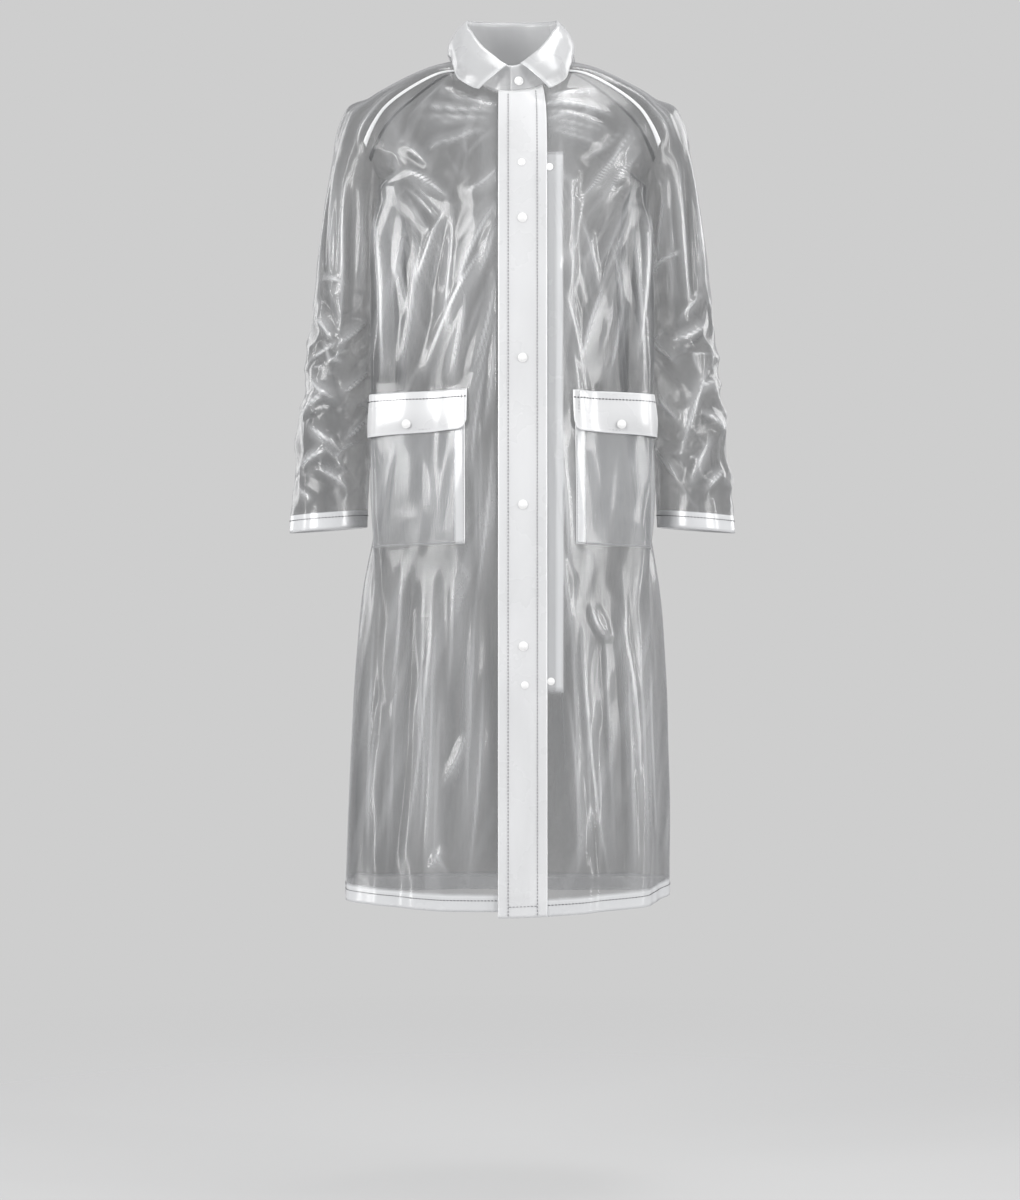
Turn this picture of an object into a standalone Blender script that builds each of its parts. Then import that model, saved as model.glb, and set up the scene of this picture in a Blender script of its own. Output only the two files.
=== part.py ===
"""A long clear vinyl raincoat, snapped shut and worn: hollow, with both sleeves hanging at the sides.

Metres, +Z up. The coat faces -Y and +X is the wearer's left. The origin is at the base of the
wearer's neck, where the shoulders carry the coat. Every cloth piece is a thin wall.
"""

import math

import bpy
import numpy as np

# ---------------------------------------------------------------- driving dimensions
WALL = 0.0012  # thickness of one cloth
SEAM_GAP = 0.0005  # between two pieces along a seam
UNDERARM_EASE = 0.0006  # the sleeve stands this far off the armhole under the arm
ARMPIT_GAP = 0.0024  # from the body to the sleeve where five seams meet under the arm
LAYER = 0.0016  # from the middle of one cloth to the middle of the cloth lying on it
UNDERLAP = 0.0038  # how far the right front is stepped in under the left front

NECK_DOWN = 0.050  # centre front of the neckline, below the origin
YOKE_DOWN = 0.136  # the raglan seam meets the armhole ring here
ARMPIT_DOWN = 0.180
HEM_DOWN = 1.158
HEM_TURN = 0.020  # width of the turned hem
HEM_RISE = 0.012  # how much higher the hem is at the side seams than in the middle
LEFT_DROP = 0.008  # how much lower the left front hangs at its free edge than the right front
HEM_LEVELS = 0.25  # above the hem, where its rows start to curve
BACK_NECK_RISE = 0.062  # centre back of the neckline above its centre front
POCKET_DROOP = 0.022  # how far the pocket rows sink towards the side seam
DROOP_MIDDLE = 0.55
DROOP_REACH = 0.36

PLACKET_EDGE = -0.019  # free edge of the left front, measured round the body from the middle
PLACKET_MIDDLE = 0.014
PLACKET_INNER = 0.047
UNDER_EDGE = 0.024  # free edge of the right front, under the placket
UNDER_STEP = -0.027  # here the right front is fully stepped in
UNDER_FLUSH = -0.055  # here it is level with the left front again
STORM_EDGE = 0.069  # free edge of the inner storm flap
STORM_TOP = 0.137
STORM_BOTTOM = 0.865
ROW_APART = 0.010  # rows of the storm flap keep this far from its ends

POCKET_INNER_RIGHT = -0.063
POCKET_INNER_LEFT = 0.085
POCKET_WIDTH = 0.160
HALF_GIRTH = 0.310  # from the middle of the front to the side seam, where the pockets are
FLAP_TOP = 0.461
FLAP_BOTTOM = 0.517
POCKET_BOTTOM = 0.665

SNAP_RADIUS = 0.0065
SNAP_HEIGHT = 0.0030
UNDER_SNAP_RADIUS = 0.0050
UNDER_SNAP_HEIGHT = 0.0010
SNAP_SIDES = 12
SNAP_SEAT = 0.0004  # from the face of a cloth to the snap on it
SNAP_PROFILE = ((0.0, 1.0), (0.45, 0.92), (0.80, 0.66), (1.0, 0.30), (1.0, 0.0))  # reach, height

CORNER_AT = 0.55  # where the body's front corner stands, as a share of the way to the side seam
CORNER_WIDTH = 0.22
FOLD_GROWTH = 1.3  # how slowly the skirt's folds open from where they start
NECK_RISE_GROWTH = 1.5  # how soon the back's rows level out below the neck
ROW_SAMPLES = 241
ARMHOLE_RING = 4  # the sleeve's first whole ring


def table(columns, *rows):
    """A table with named columns, given one row at a time."""
    return dict(zip(columns.split(), np.array(rows, float).T))


# The body at each level, named by how far its centre front is below the origin. Round the body:
# wrap is the angle a half front turns through, square is 1 for an ellipse and less for squarer,
# and the corners are cloth pushed forward or back by the arms.
LEVELS = table(
    "down front_y back_y wrap square front_corner back_corner",
    (0.050, -0.093, 0.078, 62, 1.00, 0.000, 0.000),
    (0.072, -0.105, 0.104, 62, 1.00, 0.000, 0.000),
    (0.110, -0.121, 0.127, 64, 1.00, 0.000, 0.000),
    (0.150, -0.133, 0.141, 76, 0.94, 0.014, 0.006),
    (0.180, -0.139, 0.148, 90, 0.82, 0.044, 0.022),
    (0.260, -0.147, 0.150, 90, 0.80, 0.068, 0.040),
    (0.340, -0.149, 0.143, 90, 0.80, 0.068, 0.040),
    (0.450, -0.149, 0.133, 90, 0.80, 0.059, 0.034),
    (0.600, -0.151, 0.138, 90, 0.81, 0.036, 0.020),
    (0.750, -0.155, 0.148, 90, 0.84, 0.010, 0.004),
    (0.950, -0.161, 0.158, 90, 0.86, 0.000, 0.000),
    (1.158, -0.167, 0.167, 90, 0.88, 0.000, 0.000),
)

# The side seams from the armpit to the hem: half width on each side, and depth.
SIDES = table(
    "down left_x right_x y",
    (0.180, 0.1720, 0.1720, 0.002),
    (0.205, 0.1570, 0.1570, 0.004),
    (0.240, 0.1520, 0.1520, 0.006),
    (0.340, 0.1530, 0.1530, 0.007),
    (0.450, 0.1620, 0.1620, 0.006),
    (0.600, 0.1850, 0.1850, 0.004),
    (0.720, 0.2040, 0.2060, 0.003),
    (0.800, 0.2100, 0.2140, 0.003),
    (0.960, 0.2150, 0.2240, 0.002),
    (1.158, 0.2180, 0.2310, 0.000),
)

# The left sleeve, ring by ring from the neckline over the shoulder and down the arm. The middle of
# a ring, the reach from there to its crown (sideways and up), its half depth, how far its front
# dips, and the angle from the crown to the raglan seam. From the armhole ring on, rings are whole.
SLEEVE = table(
    "ring x y z reach_x reach_z depth dip wrap",
    (0, 0.064, 0.002, -0.004, 0.013, 0.011, 0.046, 0.010, 90),
    (1, 0.096, 0.002, -0.013, 0.010, 0.014, 0.054, 0.006, 90),
    (2, 0.137, 0.001, -0.038, 0.014, 0.020, 0.070, 0.004, 90),
    (3, 0.178, 0.000, -0.074, 0.016, 0.029, 0.077, 0.002, 92),
    (4, 0.200, 0.002, -0.121, 0.028, 0.057, 0.077, 0.000, 92),
    (5, 0.208, 0.004, -0.156, 0.036, 0.050, 0.073, 0.000, 92),
    (6, 0.212, 0.004, -0.197, 0.042, 0.039, 0.070, 0.000, 92),
    (7, 0.216, 0.002, -0.244, 0.048, 0.026, 0.067, 0.000, 92),
    (8, 0.220, 0.000, -0.290, 0.052, 0.012, 0.065, 0.000, 92),
    (9, 0.226, -0.003, -0.340, 0.053, 0.004, 0.063, 0.000, 92),
    (10, 0.233, -0.007, -0.395, 0.053, 0.000, 0.061, 0.000, 92),
    (11, 0.239, -0.012, -0.450, 0.053, -0.002, 0.060, 0.000, 92),
    (12, 0.245, -0.020, -0.515, 0.053, -0.003, 0.058, 0.000, 92),
    (13, 0.250, -0.028, -0.580, 0.053, -0.004, 0.055, 0.000, 92),
    (14, 0.253, -0.036, -0.645, 0.0535, -0.004, 0.053, 0.000, 92),
)

# The collar, by the angle round the neck from the centre front. The stand rises to the fold line,
# and lean is how far that line is drawn in. The fall comes down to its own edge.
COLLAR = table(
    "angle lean fold_z edge_angle edge_reach edge_z",
    (0, 0.93, -0.014, 20, 0.108, -0.047),
    (4, 0.93, -0.013, 24, 0.109, -0.047),
    (20, 0.92, 0.003, 37, 0.113, -0.036),
    (45, 0.88, 0.030, 56, 0.098, -0.008),
    (70, 0.83, 0.052, 76, 0.087, 0.010),
    (90, 0.80, 0.062, 92, 0.087, 0.015),
    (135, 0.82, 0.069, 135, 0.102, 0.008),
    (180, 0.85, 0.072, 180, 0.106, 0.000),
)

# Hanging folds of the skirt: which cloth, its place as a share of the way from the middle to the
# side seam (the wearer's right is negative), half width, depth at the hem (negative sinks in), and
# the level where it starts.
FLUTES = (
    ("front", -0.74, 0.16, 0.009, 0.62),
    ("front", -0.47, 0.13, -0.008, 0.70),
    ("front", -0.22, 0.10, 0.005, 0.66),
    ("front", 0.36, 0.11, -0.006, 0.60),
    ("front", 0.56, 0.13, 0.009, 0.56),
    ("front", 0.80, 0.14, -0.006, 0.66),
    ("back", -0.70, 0.18, 0.011, 0.55),
    ("back", -0.40, 0.14, -0.009, 0.60),
    ("back", -0.12, 0.16, 0.010, 0.50),
    ("back", 0.20, 0.15, -0.010, 0.58),
    ("back", 0.46, 0.14, 0.009, 0.52),
    ("back", 0.74, 0.16, -0.006, 0.62),
)

# Buckled folds round the elbow: ring, angle from the crown in degrees (front is positive), half
# lengths along the arm in rings and round it in degrees, and depth.
ELBOW_FOLDS = (
    (9.4, 40, 0.8, 70, -0.005),
    (10.2, 75, 0.7, 60, 0.004),
    (10.9, 20, 0.7, 75, -0.006),
    (11.7, 70, 0.7, 65, 0.004),
    (12.3, 30, 0.6, 60, -0.004),
    (10.4, -70, 0.9, 60, -0.005),
    (11.6, -60, 0.8, 65, 0.004),
)

# Snaps, by how far down and how far to the wearer's left of the middle.
FRONT_SNAPS = ((0.228, 0.0136), (0.416, 0.0138), (0.613, 0.0142), (0.803, 0.0148))
UNDER_SNAPS = ((0.152, 0.0125), (0.855, 0.0168), (0.158, 0.050), (0.850, 0.052))
FLAP_SNAPS = {"right": (0.500, -0.145), "left": (0.500, 0.150)}
COLLAR_SNAP = (0.037, 0.008)

# Rows and columns of the faceted cloth.
YOKE_ROWS = (0, 0.7, 1.4, 2.1, 2.8, 3.4, ARMHOLE_RING)
BODY_ROWS = (
    0.225, 0.265, 0.310, 0.355, 0.410, FLAP_TOP, 0.490, FLAP_BOTTOM, 0.560, 0.610,
    POCKET_BOTTOM, 0.720, 0.780, 0.840, 0.900, 0.960, 1.020, 1.080, HEM_DOWN - HEM_TURN, HEM_DOWN,
)  # fmt: skip
CUFF_RING = 13.65
LAST_RING = 14
SLEEVE_ROWS = (
    ARMHOLE_RING, 4.6, 5.3, 6, 6.8, 7.6, 8.4, 9.2, 9.8, 10.4, 11,
    11.6, 12.2, 12.8, 13.3, CUFF_RING, LAST_RING,
)  # fmt: skip
YOKE_CELLS = 8  # across the sleeve from raglan seam to raglan seam
UNDERARM_CELLS = 3  # from each raglan seam to the bottom of the armhole
POCKET_COLUMNS = 5
BACK_COLUMNS = 15
COLLAR_COLUMNS = 32
STAND_START = 0.016  # the stand starts this far in from the left front's free edge
STAND_ROWS = (1, 0.7, 0.35, 0)  # shares of the way from the neck seam up to the fold line
STAND_LIFT = 0.0015  # the stand's foot above the neck seam
FALL_LIFT = 0.0016  # the fall's top above the stand's
FALL_ROWS = ((0.0, 0.0036), (0.30, 0.0085), (0.62, 0.0080), (1.0, 0.0))  # share of the way, bulge
COLLAR_STEP = (0.027, 0.055)  # the stand's end is stepped in between these from its own edge
FALL_COLUMNS = slice(1, -2)  # the columns of the stand that the fall turns down over
BACK_SHARES = np.linspace(-1, 1, BACK_COLUMNS)

FILM = (0.86, 0.88, 0.90, 0.35)
DOUBLED_FILM = (0.93, 0.94, 0.95, 0.75)
SNAP_WHITE = (0.94, 0.94, 0.93, 1.0)


# ---------------------------------------------------------------- curves and surfaces
def smooth(knots, values, at):
    """A smooth curve through values at rising knots, that never swings past them."""
    at = np.clip(at, knots[0], knots[-1])
    step = np.diff(knots)
    slope = np.diff(values) / step
    before, after = slope[:-1], slope[1:]
    same_way = before * after > 0
    total = np.where(same_way, before + after, 1.0)
    inner = np.where(same_way, 2 * before * after / total, 0.0)
    lean = np.concatenate([slope[:1], inner, slope[-1:]])
    span = np.clip(np.searchsorted(knots, at, side="right") - 1, 0, len(knots) - 2)
    part = (at - knots[span]) / step[span]
    rise = values[span + 1] - values[span]
    ease = part * part * (3 - 2 * part)
    start = part * (1 - part) ** 2
    end = part * part * (part - 1)
    return values[span] + rise * ease + step[span] * (lean[span] * start + lean[span + 1] * end)


def read(rows, key, at):
    """Every column of a table but its key, read smoothly at the key's values."""
    return {name: smooth(rows[key], column, at) for name, column in rows.items() if name != key}


def bump(distance):
    """1 at 0, falling smoothly to 0 at a distance of 1."""
    return np.cos(np.clip(distance, -1, 1) * math.pi / 2) ** 2


def sleeve_points(rings, angles, side):
    """Points of a sleeve. Angles are in degrees round a ring from its crown, positive to the front."""
    rings, angles = np.broadcast_arrays(rings, angles)
    ring = read(SLEEVE, "ring", rings)
    out = np.zeros(rings.shape)
    for at, place, along, around, depth in ELBOW_FOLDS:
        turned = (angles - place + 180) % 360 - 180
        out = out + depth * bump((rings - at) / along) * bump(turned / around)
    cosine = np.cos(np.radians(angles)) * (1 + out / ring["depth"])
    sine = np.sin(np.radians(angles)) * (1 + out / ring["depth"])
    x = ring["x"] + ring["reach_x"] * cosine
    y = ring["y"] - ring["depth"] * sine
    z = ring["z"] + ring["reach_z"] * cosine - ring["dip"] * sine
    return np.stack([side * x, y, z], axis=-1)


def near_hem(down):
    """0 above the skirt's last part, rising smoothly to 1 at the hem."""
    return bump(np.clip((HEM_DOWN - down) / HEM_LEVELS, 0, 1))


def seam_angle(ring):
    """The angle from the crown to the raglan seam."""
    return smooth(SLEEVE["ring"], SLEEVE["wrap"], ring)


def panel_edge(down, side, cloth):
    """The outer edge of a front or back at one level: its raglan seam, armhole, then side seam."""
    front = 1 if cloth == "front" else -1
    if down < YOKE_DOWN:
        ring = ARMHOLE_RING * (down - NECK_DOWN) / (YOKE_DOWN - NECK_DOWN)
        return sleeve_points(ring, front * seam_angle(ring), side)
    if down <= ARMPIT_DOWN:
        start = seam_angle(ARMHOLE_RING)
        under = (down - YOKE_DOWN) / (ARMPIT_DOWN - YOKE_DOWN)
        return sleeve_points(ARMHOLE_RING, front * (start + (180 - start) * under), side)
    seam = read(SIDES, "down", down)
    half_width = seam["left_x"] if side > 0 else seam["right_x"]
    droop = POCKET_DROOP * bump((down - DROOP_MIDDLE) / DROOP_REACH) - HEM_RISE * near_hem(down)
    return np.array([side * half_width, seam["y"], -down - droop])


def half_row(down, side, cloth):
    """Close points along one level of a front or back, from its middle to its outer edge."""
    level = read(LEVELS, "down", down)
    edge = panel_edge(down, side, cloth)
    share = np.linspace(0, 1, ROW_SAMPLES)
    wrap = math.radians(level["wrap"])
    across = (np.sin(share * wrap) / math.sin(wrap)) ** level["square"]
    left = np.clip((np.cos(share * wrap) - math.cos(wrap)) / (1 - math.cos(wrap)), 0, 1)
    x = abs(edge[0]) * across
    y = edge[1] + (level[cloth + "_y"] - edge[1]) * left ** level["square"]

    folded = np.zeros(ROW_SAMPLES)
    for where, place, width, depth, start in FLUTES:
        if where == cloth:
            grown = np.clip((down - start) / (HEM_DOWN - start), 0, 1) ** FOLD_GROWTH
            folded = folded + depth * grown * bump((share - side * place) / width)
    outward = np.stack([x, y]) / np.maximum(np.hypot(x, y), 1e-6)
    corner = level[cloth + "_corner"] * bump((share - CORNER_AT) / CORNER_WIDTH)
    x = x + folded * outward[0] + corner
    y = y + folded * outward[1]

    above = max(0.0, (ARMPIT_DOWN - down) / (ARMPIT_DOWN - NECK_DOWN))
    rise = BACK_NECK_RISE * above**NECK_RISE_GROWTH if cloth == "back" else 0.0
    z = -down + rise + (edge[2] + down - rise) * share**2
    return np.stack([side * x, y, z], axis=-1)


def whole_row(down, cloth):
    """One level of a front or back from the wearer's right seam to the left, and the distance of
    each point from the middle, measured round the body."""
    right = half_row(down, -1, cloth)[::-1]
    left = half_row(down, 1, cloth)[1:]
    points = np.concatenate([right, left])
    steps = np.linalg.norm(np.diff(points, axis=0), axis=1)
    round_body = np.concatenate([[0], np.cumsum(steps)])
    return points, round_body - round_body[ROW_SAMPLES - 1]


def on_row(down, cloth, places):
    """Points at the given distances from the middle. 'places' takes the two ends of the level."""
    points, round_body = whole_row(down, cloth)
    wanted = places(round_body[0], round_body[-1])
    return np.stack([np.interp(wanted, round_body, points[:, axis]) for axis in range(3)], axis=-1)


def front_shares(start, pocket_inner):
    """Columns from 'start' to the side seam, as shares of that way, with five across the pocket."""
    way = HALF_GIRTH - abs(start)
    inner = (abs(pocket_inner) - abs(start)) / way
    outer = inner + POCKET_WIDTH / way
    return np.concatenate([np.linspace(inner, outer, POCKET_COLUMNS), [(1 + outer) / 2, 1]])


def hang_lower(row, down):
    """A row of the left front, a little lower towards its free edge near the hem."""
    share = np.clip(row[:, 0] / row[-1, 0], 0, 1)
    lowered = row.copy()
    lowered[:, 2] -= LEFT_DROP * near_hem(down) * (1 - share)
    return lowered


def left_front_places(right_end, left_end):
    shares = front_shares(PLACKET_INNER, POCKET_INNER_LEFT) * (left_end - PLACKET_INNER)
    return np.concatenate([[PLACKET_EDGE, PLACKET_MIDDLE, PLACKET_INNER], PLACKET_INNER + shares])


def right_front_places(right_end, left_end):
    shares = front_shares(UNDER_FLUSH, POCKET_INNER_RIGHT) * (right_end - UNDER_FLUSH)
    return np.concatenate([(UNDER_FLUSH + shares)[::-1], [UNDER_FLUSH, UNDER_STEP, UNDER_EDGE]])


def storm_flap_places(right_end, left_end):
    return np.array([UNDER_EDGE + 3 * SEAM_GAP, PLACKET_INNER, STORM_EDGE])


def back_places(right_end, left_end):
    return np.where(BACK_SHARES < 0, -BACK_SHARES * right_end, BACK_SHARES * left_end)[::-1]


# ---------------------------------------------------------------- cloth as faceted walls
def quad_corners(rows, columns):
    """The two triangles of every cell of a grid, as indices into its points, facing out."""
    index = np.arange(rows * columns).reshape(rows, columns)
    a, b = index[:-1, :-1].ravel(), index[:-1, 1:].ravel()
    d, c = index[1:, :-1].ravel(), index[1:, 1:].ravel()
    return np.concatenate([np.stack([a, d, c], 1), np.stack([a, c, b], 1)])


def shared_normals(pieces):
    """Outward directions at every point of every grid, the same where grids meet at a seam."""
    total = {}
    for grids in pieces:
        for grid in grids:
            points = grid.reshape(-1, 3)
            names = point_names(grid)
            corners = quad_corners(*grid.shape[:2])
            a, b, c = points[corners].transpose(1, 0, 2)
            for face, normal in zip(corners, np.cross(b - a, c - a)):
                for corner in face:
                    total[names[corner]] = total.get(names[corner], 0) + normal
    return [
        [unit(np.array([total[name] for name in point_names(grid)]).reshape(grid.shape)) for grid in grids]
        for grids in pieces
    ]


def point_names(grid):
    """A name for each point, the same for points in the same place."""
    return [tuple(name) for name in np.round(grid.reshape(-1, 3) * 1e4).astype(int)]


def unit(vectors):
    return vectors / np.linalg.norm(vectors, axis=-1, keepdims=True)


def without(vectors, direction):
    """The part of each vector that is square to a unit direction."""
    return vectors - direction * np.sum(vectors * direction, axis=-1, keepdims=True)


def drawn_in(grid, normals, borders, rows=slice(None)):
    """The grid with its outer columns, 0 or -1, pulled in by half a seam gap, square to the seam."""
    moved = grid.copy()
    for border in borders:
        seam, out = grid[rows, border], normals[rows, border]
        inside = grid[rows, 1 if border == 0 else -2]
        along = unit(without(np.gradient(seam, axis=0), out))
        inward = unit(without(without(inside - seam, out), along))
        moved[rows, border] = seam + inward * SEAM_GAP / 2
    return moved


def make_material(name, colour, roughness):
    material = bpy.data.materials.new(name)
    material.use_nodes = True
    shader = material.node_tree.nodes["Principled BSDF"]
    shader.inputs["Base Color"].default_value = (*colour[:3], 1.0)
    shader.inputs["Alpha"].default_value = colour[3]
    shader.inputs["Roughness"].default_value = roughness
    return material


def add_mesh(name, points, faces, colour, roughness):
    mesh = bpy.data.meshes.new(name)
    mesh.from_pydata([tuple(point) for point in points], [], faces)
    mesh.shade_smooth()
    mesh.materials.append(make_material(name, colour, roughness))
    piece = bpy.data.objects.new(name, mesh)
    bpy.context.scene.collection.objects.link(piece)
    return piece


def add_cloth(name, grids, normals, colour=FILM, lift=0.0):
    """A wall of cloth round the middle surface made of 'grids', moved out by 'lift', which is one
    distance or one for each point."""
    flat = np.concatenate([grid.reshape(-1, 3) for grid in grids])
    out = np.concatenate([normal.reshape(-1, 3) for normal in normals])
    moved = flat + out * (np.reshape(lift, (-1, 1)) if np.ndim(lift) else lift)
    offset = np.cumsum([0] + [grid.shape[0] * grid.shape[1] for grid in grids])
    faces = np.concatenate([quad_corners(*g.shape[:2]) + start for g, start in zip(grids, offset)])
    spot = np.round(flat * 1e5).astype(int)
    _, first, index = np.unique(spot, axis=0, return_index=True, return_inverse=True)
    faces = index.reshape(-1)[faces]
    middle, half = moved[first], out[first] * WALL / 2
    count = len(first)
    edges = {(a, b) for face in faces for a, b in zip(face, np.roll(face, -1))}
    walls = [(int(a), int(b), int(c)) for a, b, c in faces]
    walls += [(int(c) + count, int(b) + count, int(a) + count) for a, b, c in faces]
    for a, b in sorted(edges):
        if (b, a) not in edges:
            walls.append((int(b), int(a), int(a) + count))
            walls.append((int(b), int(a) + count, int(b) + count))
    return add_mesh(name, np.concatenate([middle + half, middle - half]), walls, colour, 0.2)


def add_snap(name, place, lift, radius=SNAP_RADIUS, height=SNAP_HEIGHT):
    """A domed cap that stands on a cloth's face, 'lift' from the middle of that cloth."""
    point, normal = place
    normal = normal / np.linalg.norm(normal)
    upright = np.cross(normal, (1.0, 0.0, 0.0))
    upright = upright / np.linalg.norm(upright)
    level = np.cross(upright, normal)
    points = [point + normal * (lift + height)]
    for reach, rise in SNAP_PROFILE[1:]:
        for turn in range(SNAP_SIDES):
            angle = 2 * math.pi * turn / SNAP_SIDES
            around = level * math.cos(angle) + upright * math.sin(angle)
            points.append(point + around * radius * reach + normal * (lift + height * rise))
    points.append(point + normal * lift)
    last = len(points) - 1
    faces = []
    for turn in range(SNAP_SIDES):
        after = (turn + 1) % SNAP_SIDES
        faces.append((0, 1 + turn, 1 + after))
        for ring in range(len(SNAP_PROFILE) - 2):
            upper = 1 + ring * SNAP_SIDES
            lower = upper + SNAP_SIDES
            faces.append((upper + turn, lower + turn, lower + after, upper + after))
        faces.append((last, last - SNAP_SIDES + after, last - SNAP_SIDES + turn))
    return add_mesh(name, points, faces, SNAP_WHITE, 0.3)


def on_grid(grid, height, sideways):
    """The point of a faceted cloth at a height and a place across, and the direction out of it."""
    best = None
    for corner in quad_corners(*grid.shape[:2]):
        a, b, c = grid.reshape(-1, 3)[corner]
        plane = np.array([[b[0] - a[0], c[0] - a[0]], [b[2] - a[2], c[2] - a[2]]])
        if abs(np.linalg.det(plane)) < 1e-12:
            continue
        u, v = np.linalg.solve(plane, (sideways - a[0], height - a[2]))
        if u >= -1e-6 and v >= -1e-6 and u + v <= 1 + 1e-6:
            point = a + u * (b - a) + v * (c - a)
            if best is None or point[1] < best[0][1]:
                best = point, np.cross(b - a, c - a)
    return best


# ---------------------------------------------------------------- the coat
def sleeve_grids(side):
    """The yoke of a sleeve, open between its raglan seams, and its tube, which closes on itself."""
    rings = np.array(SLEEVE_ROWS)
    start = float(seam_angle(ARMHOLE_RING))
    across = np.linspace(1, -1, YOKE_CELLS + 1)
    under = np.linspace(180, start, UNDERARM_CELLS + 1)[:-1]
    around = np.concatenate([under, across * start, -under[::-1]])
    yoke_rings = np.array(YOKE_ROWS, float)
    yoke = sleeve_points(yoke_rings[:, None], seam_angle(yoke_rings)[:, None] * across, side)
    tube = sleeve_points(rings[:, None], around[None, :], side)
    tube[0, (0, -1), 0] += side * ARMPIT_GAP
    grids = [yoke, tube]
    return grids if side > 0 else [grid[:, ::-1] for grid in grids]


def body_and_sleeves():
    """Levels, and the grids and outward directions of the five main pieces, by name."""
    yoke_levels = NECK_DOWN + (YOKE_DOWN - NECK_DOWN) * np.array(YOKE_ROWS) / ARMHOLE_RING
    under_levels = np.linspace(YOKE_DOWN, ARMPIT_DOWN, UNDERARM_CELLS + 1)[1:]
    levels = np.concatenate([yoke_levels, under_levels, BODY_ROWS])
    grids = {
        "front_right": [np.array([on_row(down, "front", right_front_places) for down in levels])],
        "front_left": [
            np.array([hang_lower(on_row(down, "front", left_front_places), down) for down in levels])
        ],
        "back": [np.array([on_row(down, "back", back_places) for down in levels])],
        "sleeve_left": sleeve_grids(1),
        "sleeve_right": sleeve_grids(-1),
    }
    return levels, grids, dict(zip(grids, shared_normals(list(grids.values()))))


def open_the_seams(grids, normals):
    """Pulls every piece back a little from its neighbours."""
    opened = {}
    for name, borders in (("front_right", (0,)), ("front_left", (-1,)), ("back", (0, -1))):
        opened[name] = [drawn_in(grids[name][0], normals[name][0], borders)]
    for name in ("sleeve_left", "sleeve_right"):
        yoke, tube = grids[name]
        yoke = drawn_in(yoke, normals[name][0], (0, -1))
        tube = tube.copy()
        under = np.r_[0 : UNDERARM_CELLS + 1, -UNDERARM_CELLS - 1 : 0]
        seam, out = tube[0], normals[name][1][0]
        along = unit(without(np.gradient(seam, axis=0), out))
        inward = unit(without(without(tube[1] - seam, out), along))
        tube[0, under[1:-1]] += inward[under[1:-1]] * UNDERARM_EASE
        for column, corner in ((UNDERARM_CELLS, 0), (-UNDERARM_CELLS - 1, -1)):
            tube[0, column] = yoke[-1, corner]
        opened[name] = [yoke, tube]
    return opened


def neckline(grids, columns):
    """Even points along the neck seam, from the left front's free edge right round to the other."""
    order = ("front_left", "sleeve_left", "back", "sleeve_right", "front_right")
    loop = np.concatenate([grids[name][0][0] for name in order])
    steps = np.linalg.norm(np.diff(loop, axis=0), axis=1)
    loop = loop[np.concatenate([[True], steps > 1e-4])]
    run = np.concatenate([[0], np.cumsum(np.linalg.norm(np.diff(loop, axis=0), axis=1))])
    wanted = np.linspace(STAND_START, run[-1], columns)
    return np.stack([np.interp(wanted, run, loop[:, axis]) for axis in range(3)], axis=-1), wanted


def build_collar(grids):
    """The stand round the neck and the fall that turns down over it."""
    seam, run = neckline(grids, COLLAR_COLUMNS)
    from_front = np.degrees(np.abs(np.arctan2(seam[:, 0], -seam[:, 1])))
    collar = read(COLLAR, "angle", from_front)
    near, far_in = COLLAR_STEP
    under = np.clip((run - run[-1] + far_in) / (far_in - near), 0, 1)[:, None] * UNDERLAP
    outward = seam * (1, 1, 0) / np.linalg.norm(seam[:, :2], axis=1, keepdims=True)
    base = seam - outward * under
    fold = np.stack([base[:, 0] * collar["lean"], base[:, 1] * collar["lean"], collar["fold_z"]], -1)
    foot = base + (0, 0, STAND_LIFT)
    stand = np.array([foot + (fold - foot) * part for part in STAND_ROWS])
    add_cloth("collar_stand", [stand], shared_normals([[stand]])[0], DOUBLED_FILM)

    top = fold[FALL_COLUMNS]
    fall = {name: column[FALL_COLUMNS] for name, column in collar.items()}
    edge_angle = np.radians(fall["edge_angle"]) * np.sign(top[:, 0])
    around = np.stack([np.sin(edge_angle), -np.cos(edge_angle)], axis=-1)
    edge = np.concatenate([around * fall["edge_reach"][:, None], fall["edge_z"][:, None]], axis=-1)
    outward = top * (1, 1, 0) / np.linalg.norm(top[:, :2], axis=1, keepdims=True)
    leaf = [top + (0, 0, FALL_LIFT)]
    for part, bulge in FALL_ROWS:
        leaf.append(top + (edge - top) * part + outward * bulge)
    leaf = np.array(leaf)
    add_cloth("collar_fall", [leaf], shared_normals([[leaf]])[0], DOUBLED_FILM)
    return stand


def add_patch(name, piece, rows, columns, colour, lift):
    """A cloth that lies on part of another, made from its points."""
    grid, out = piece
    add_cloth(name, [grid[rows, columns]], [out[rows, columns]], colour, lift)


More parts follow.
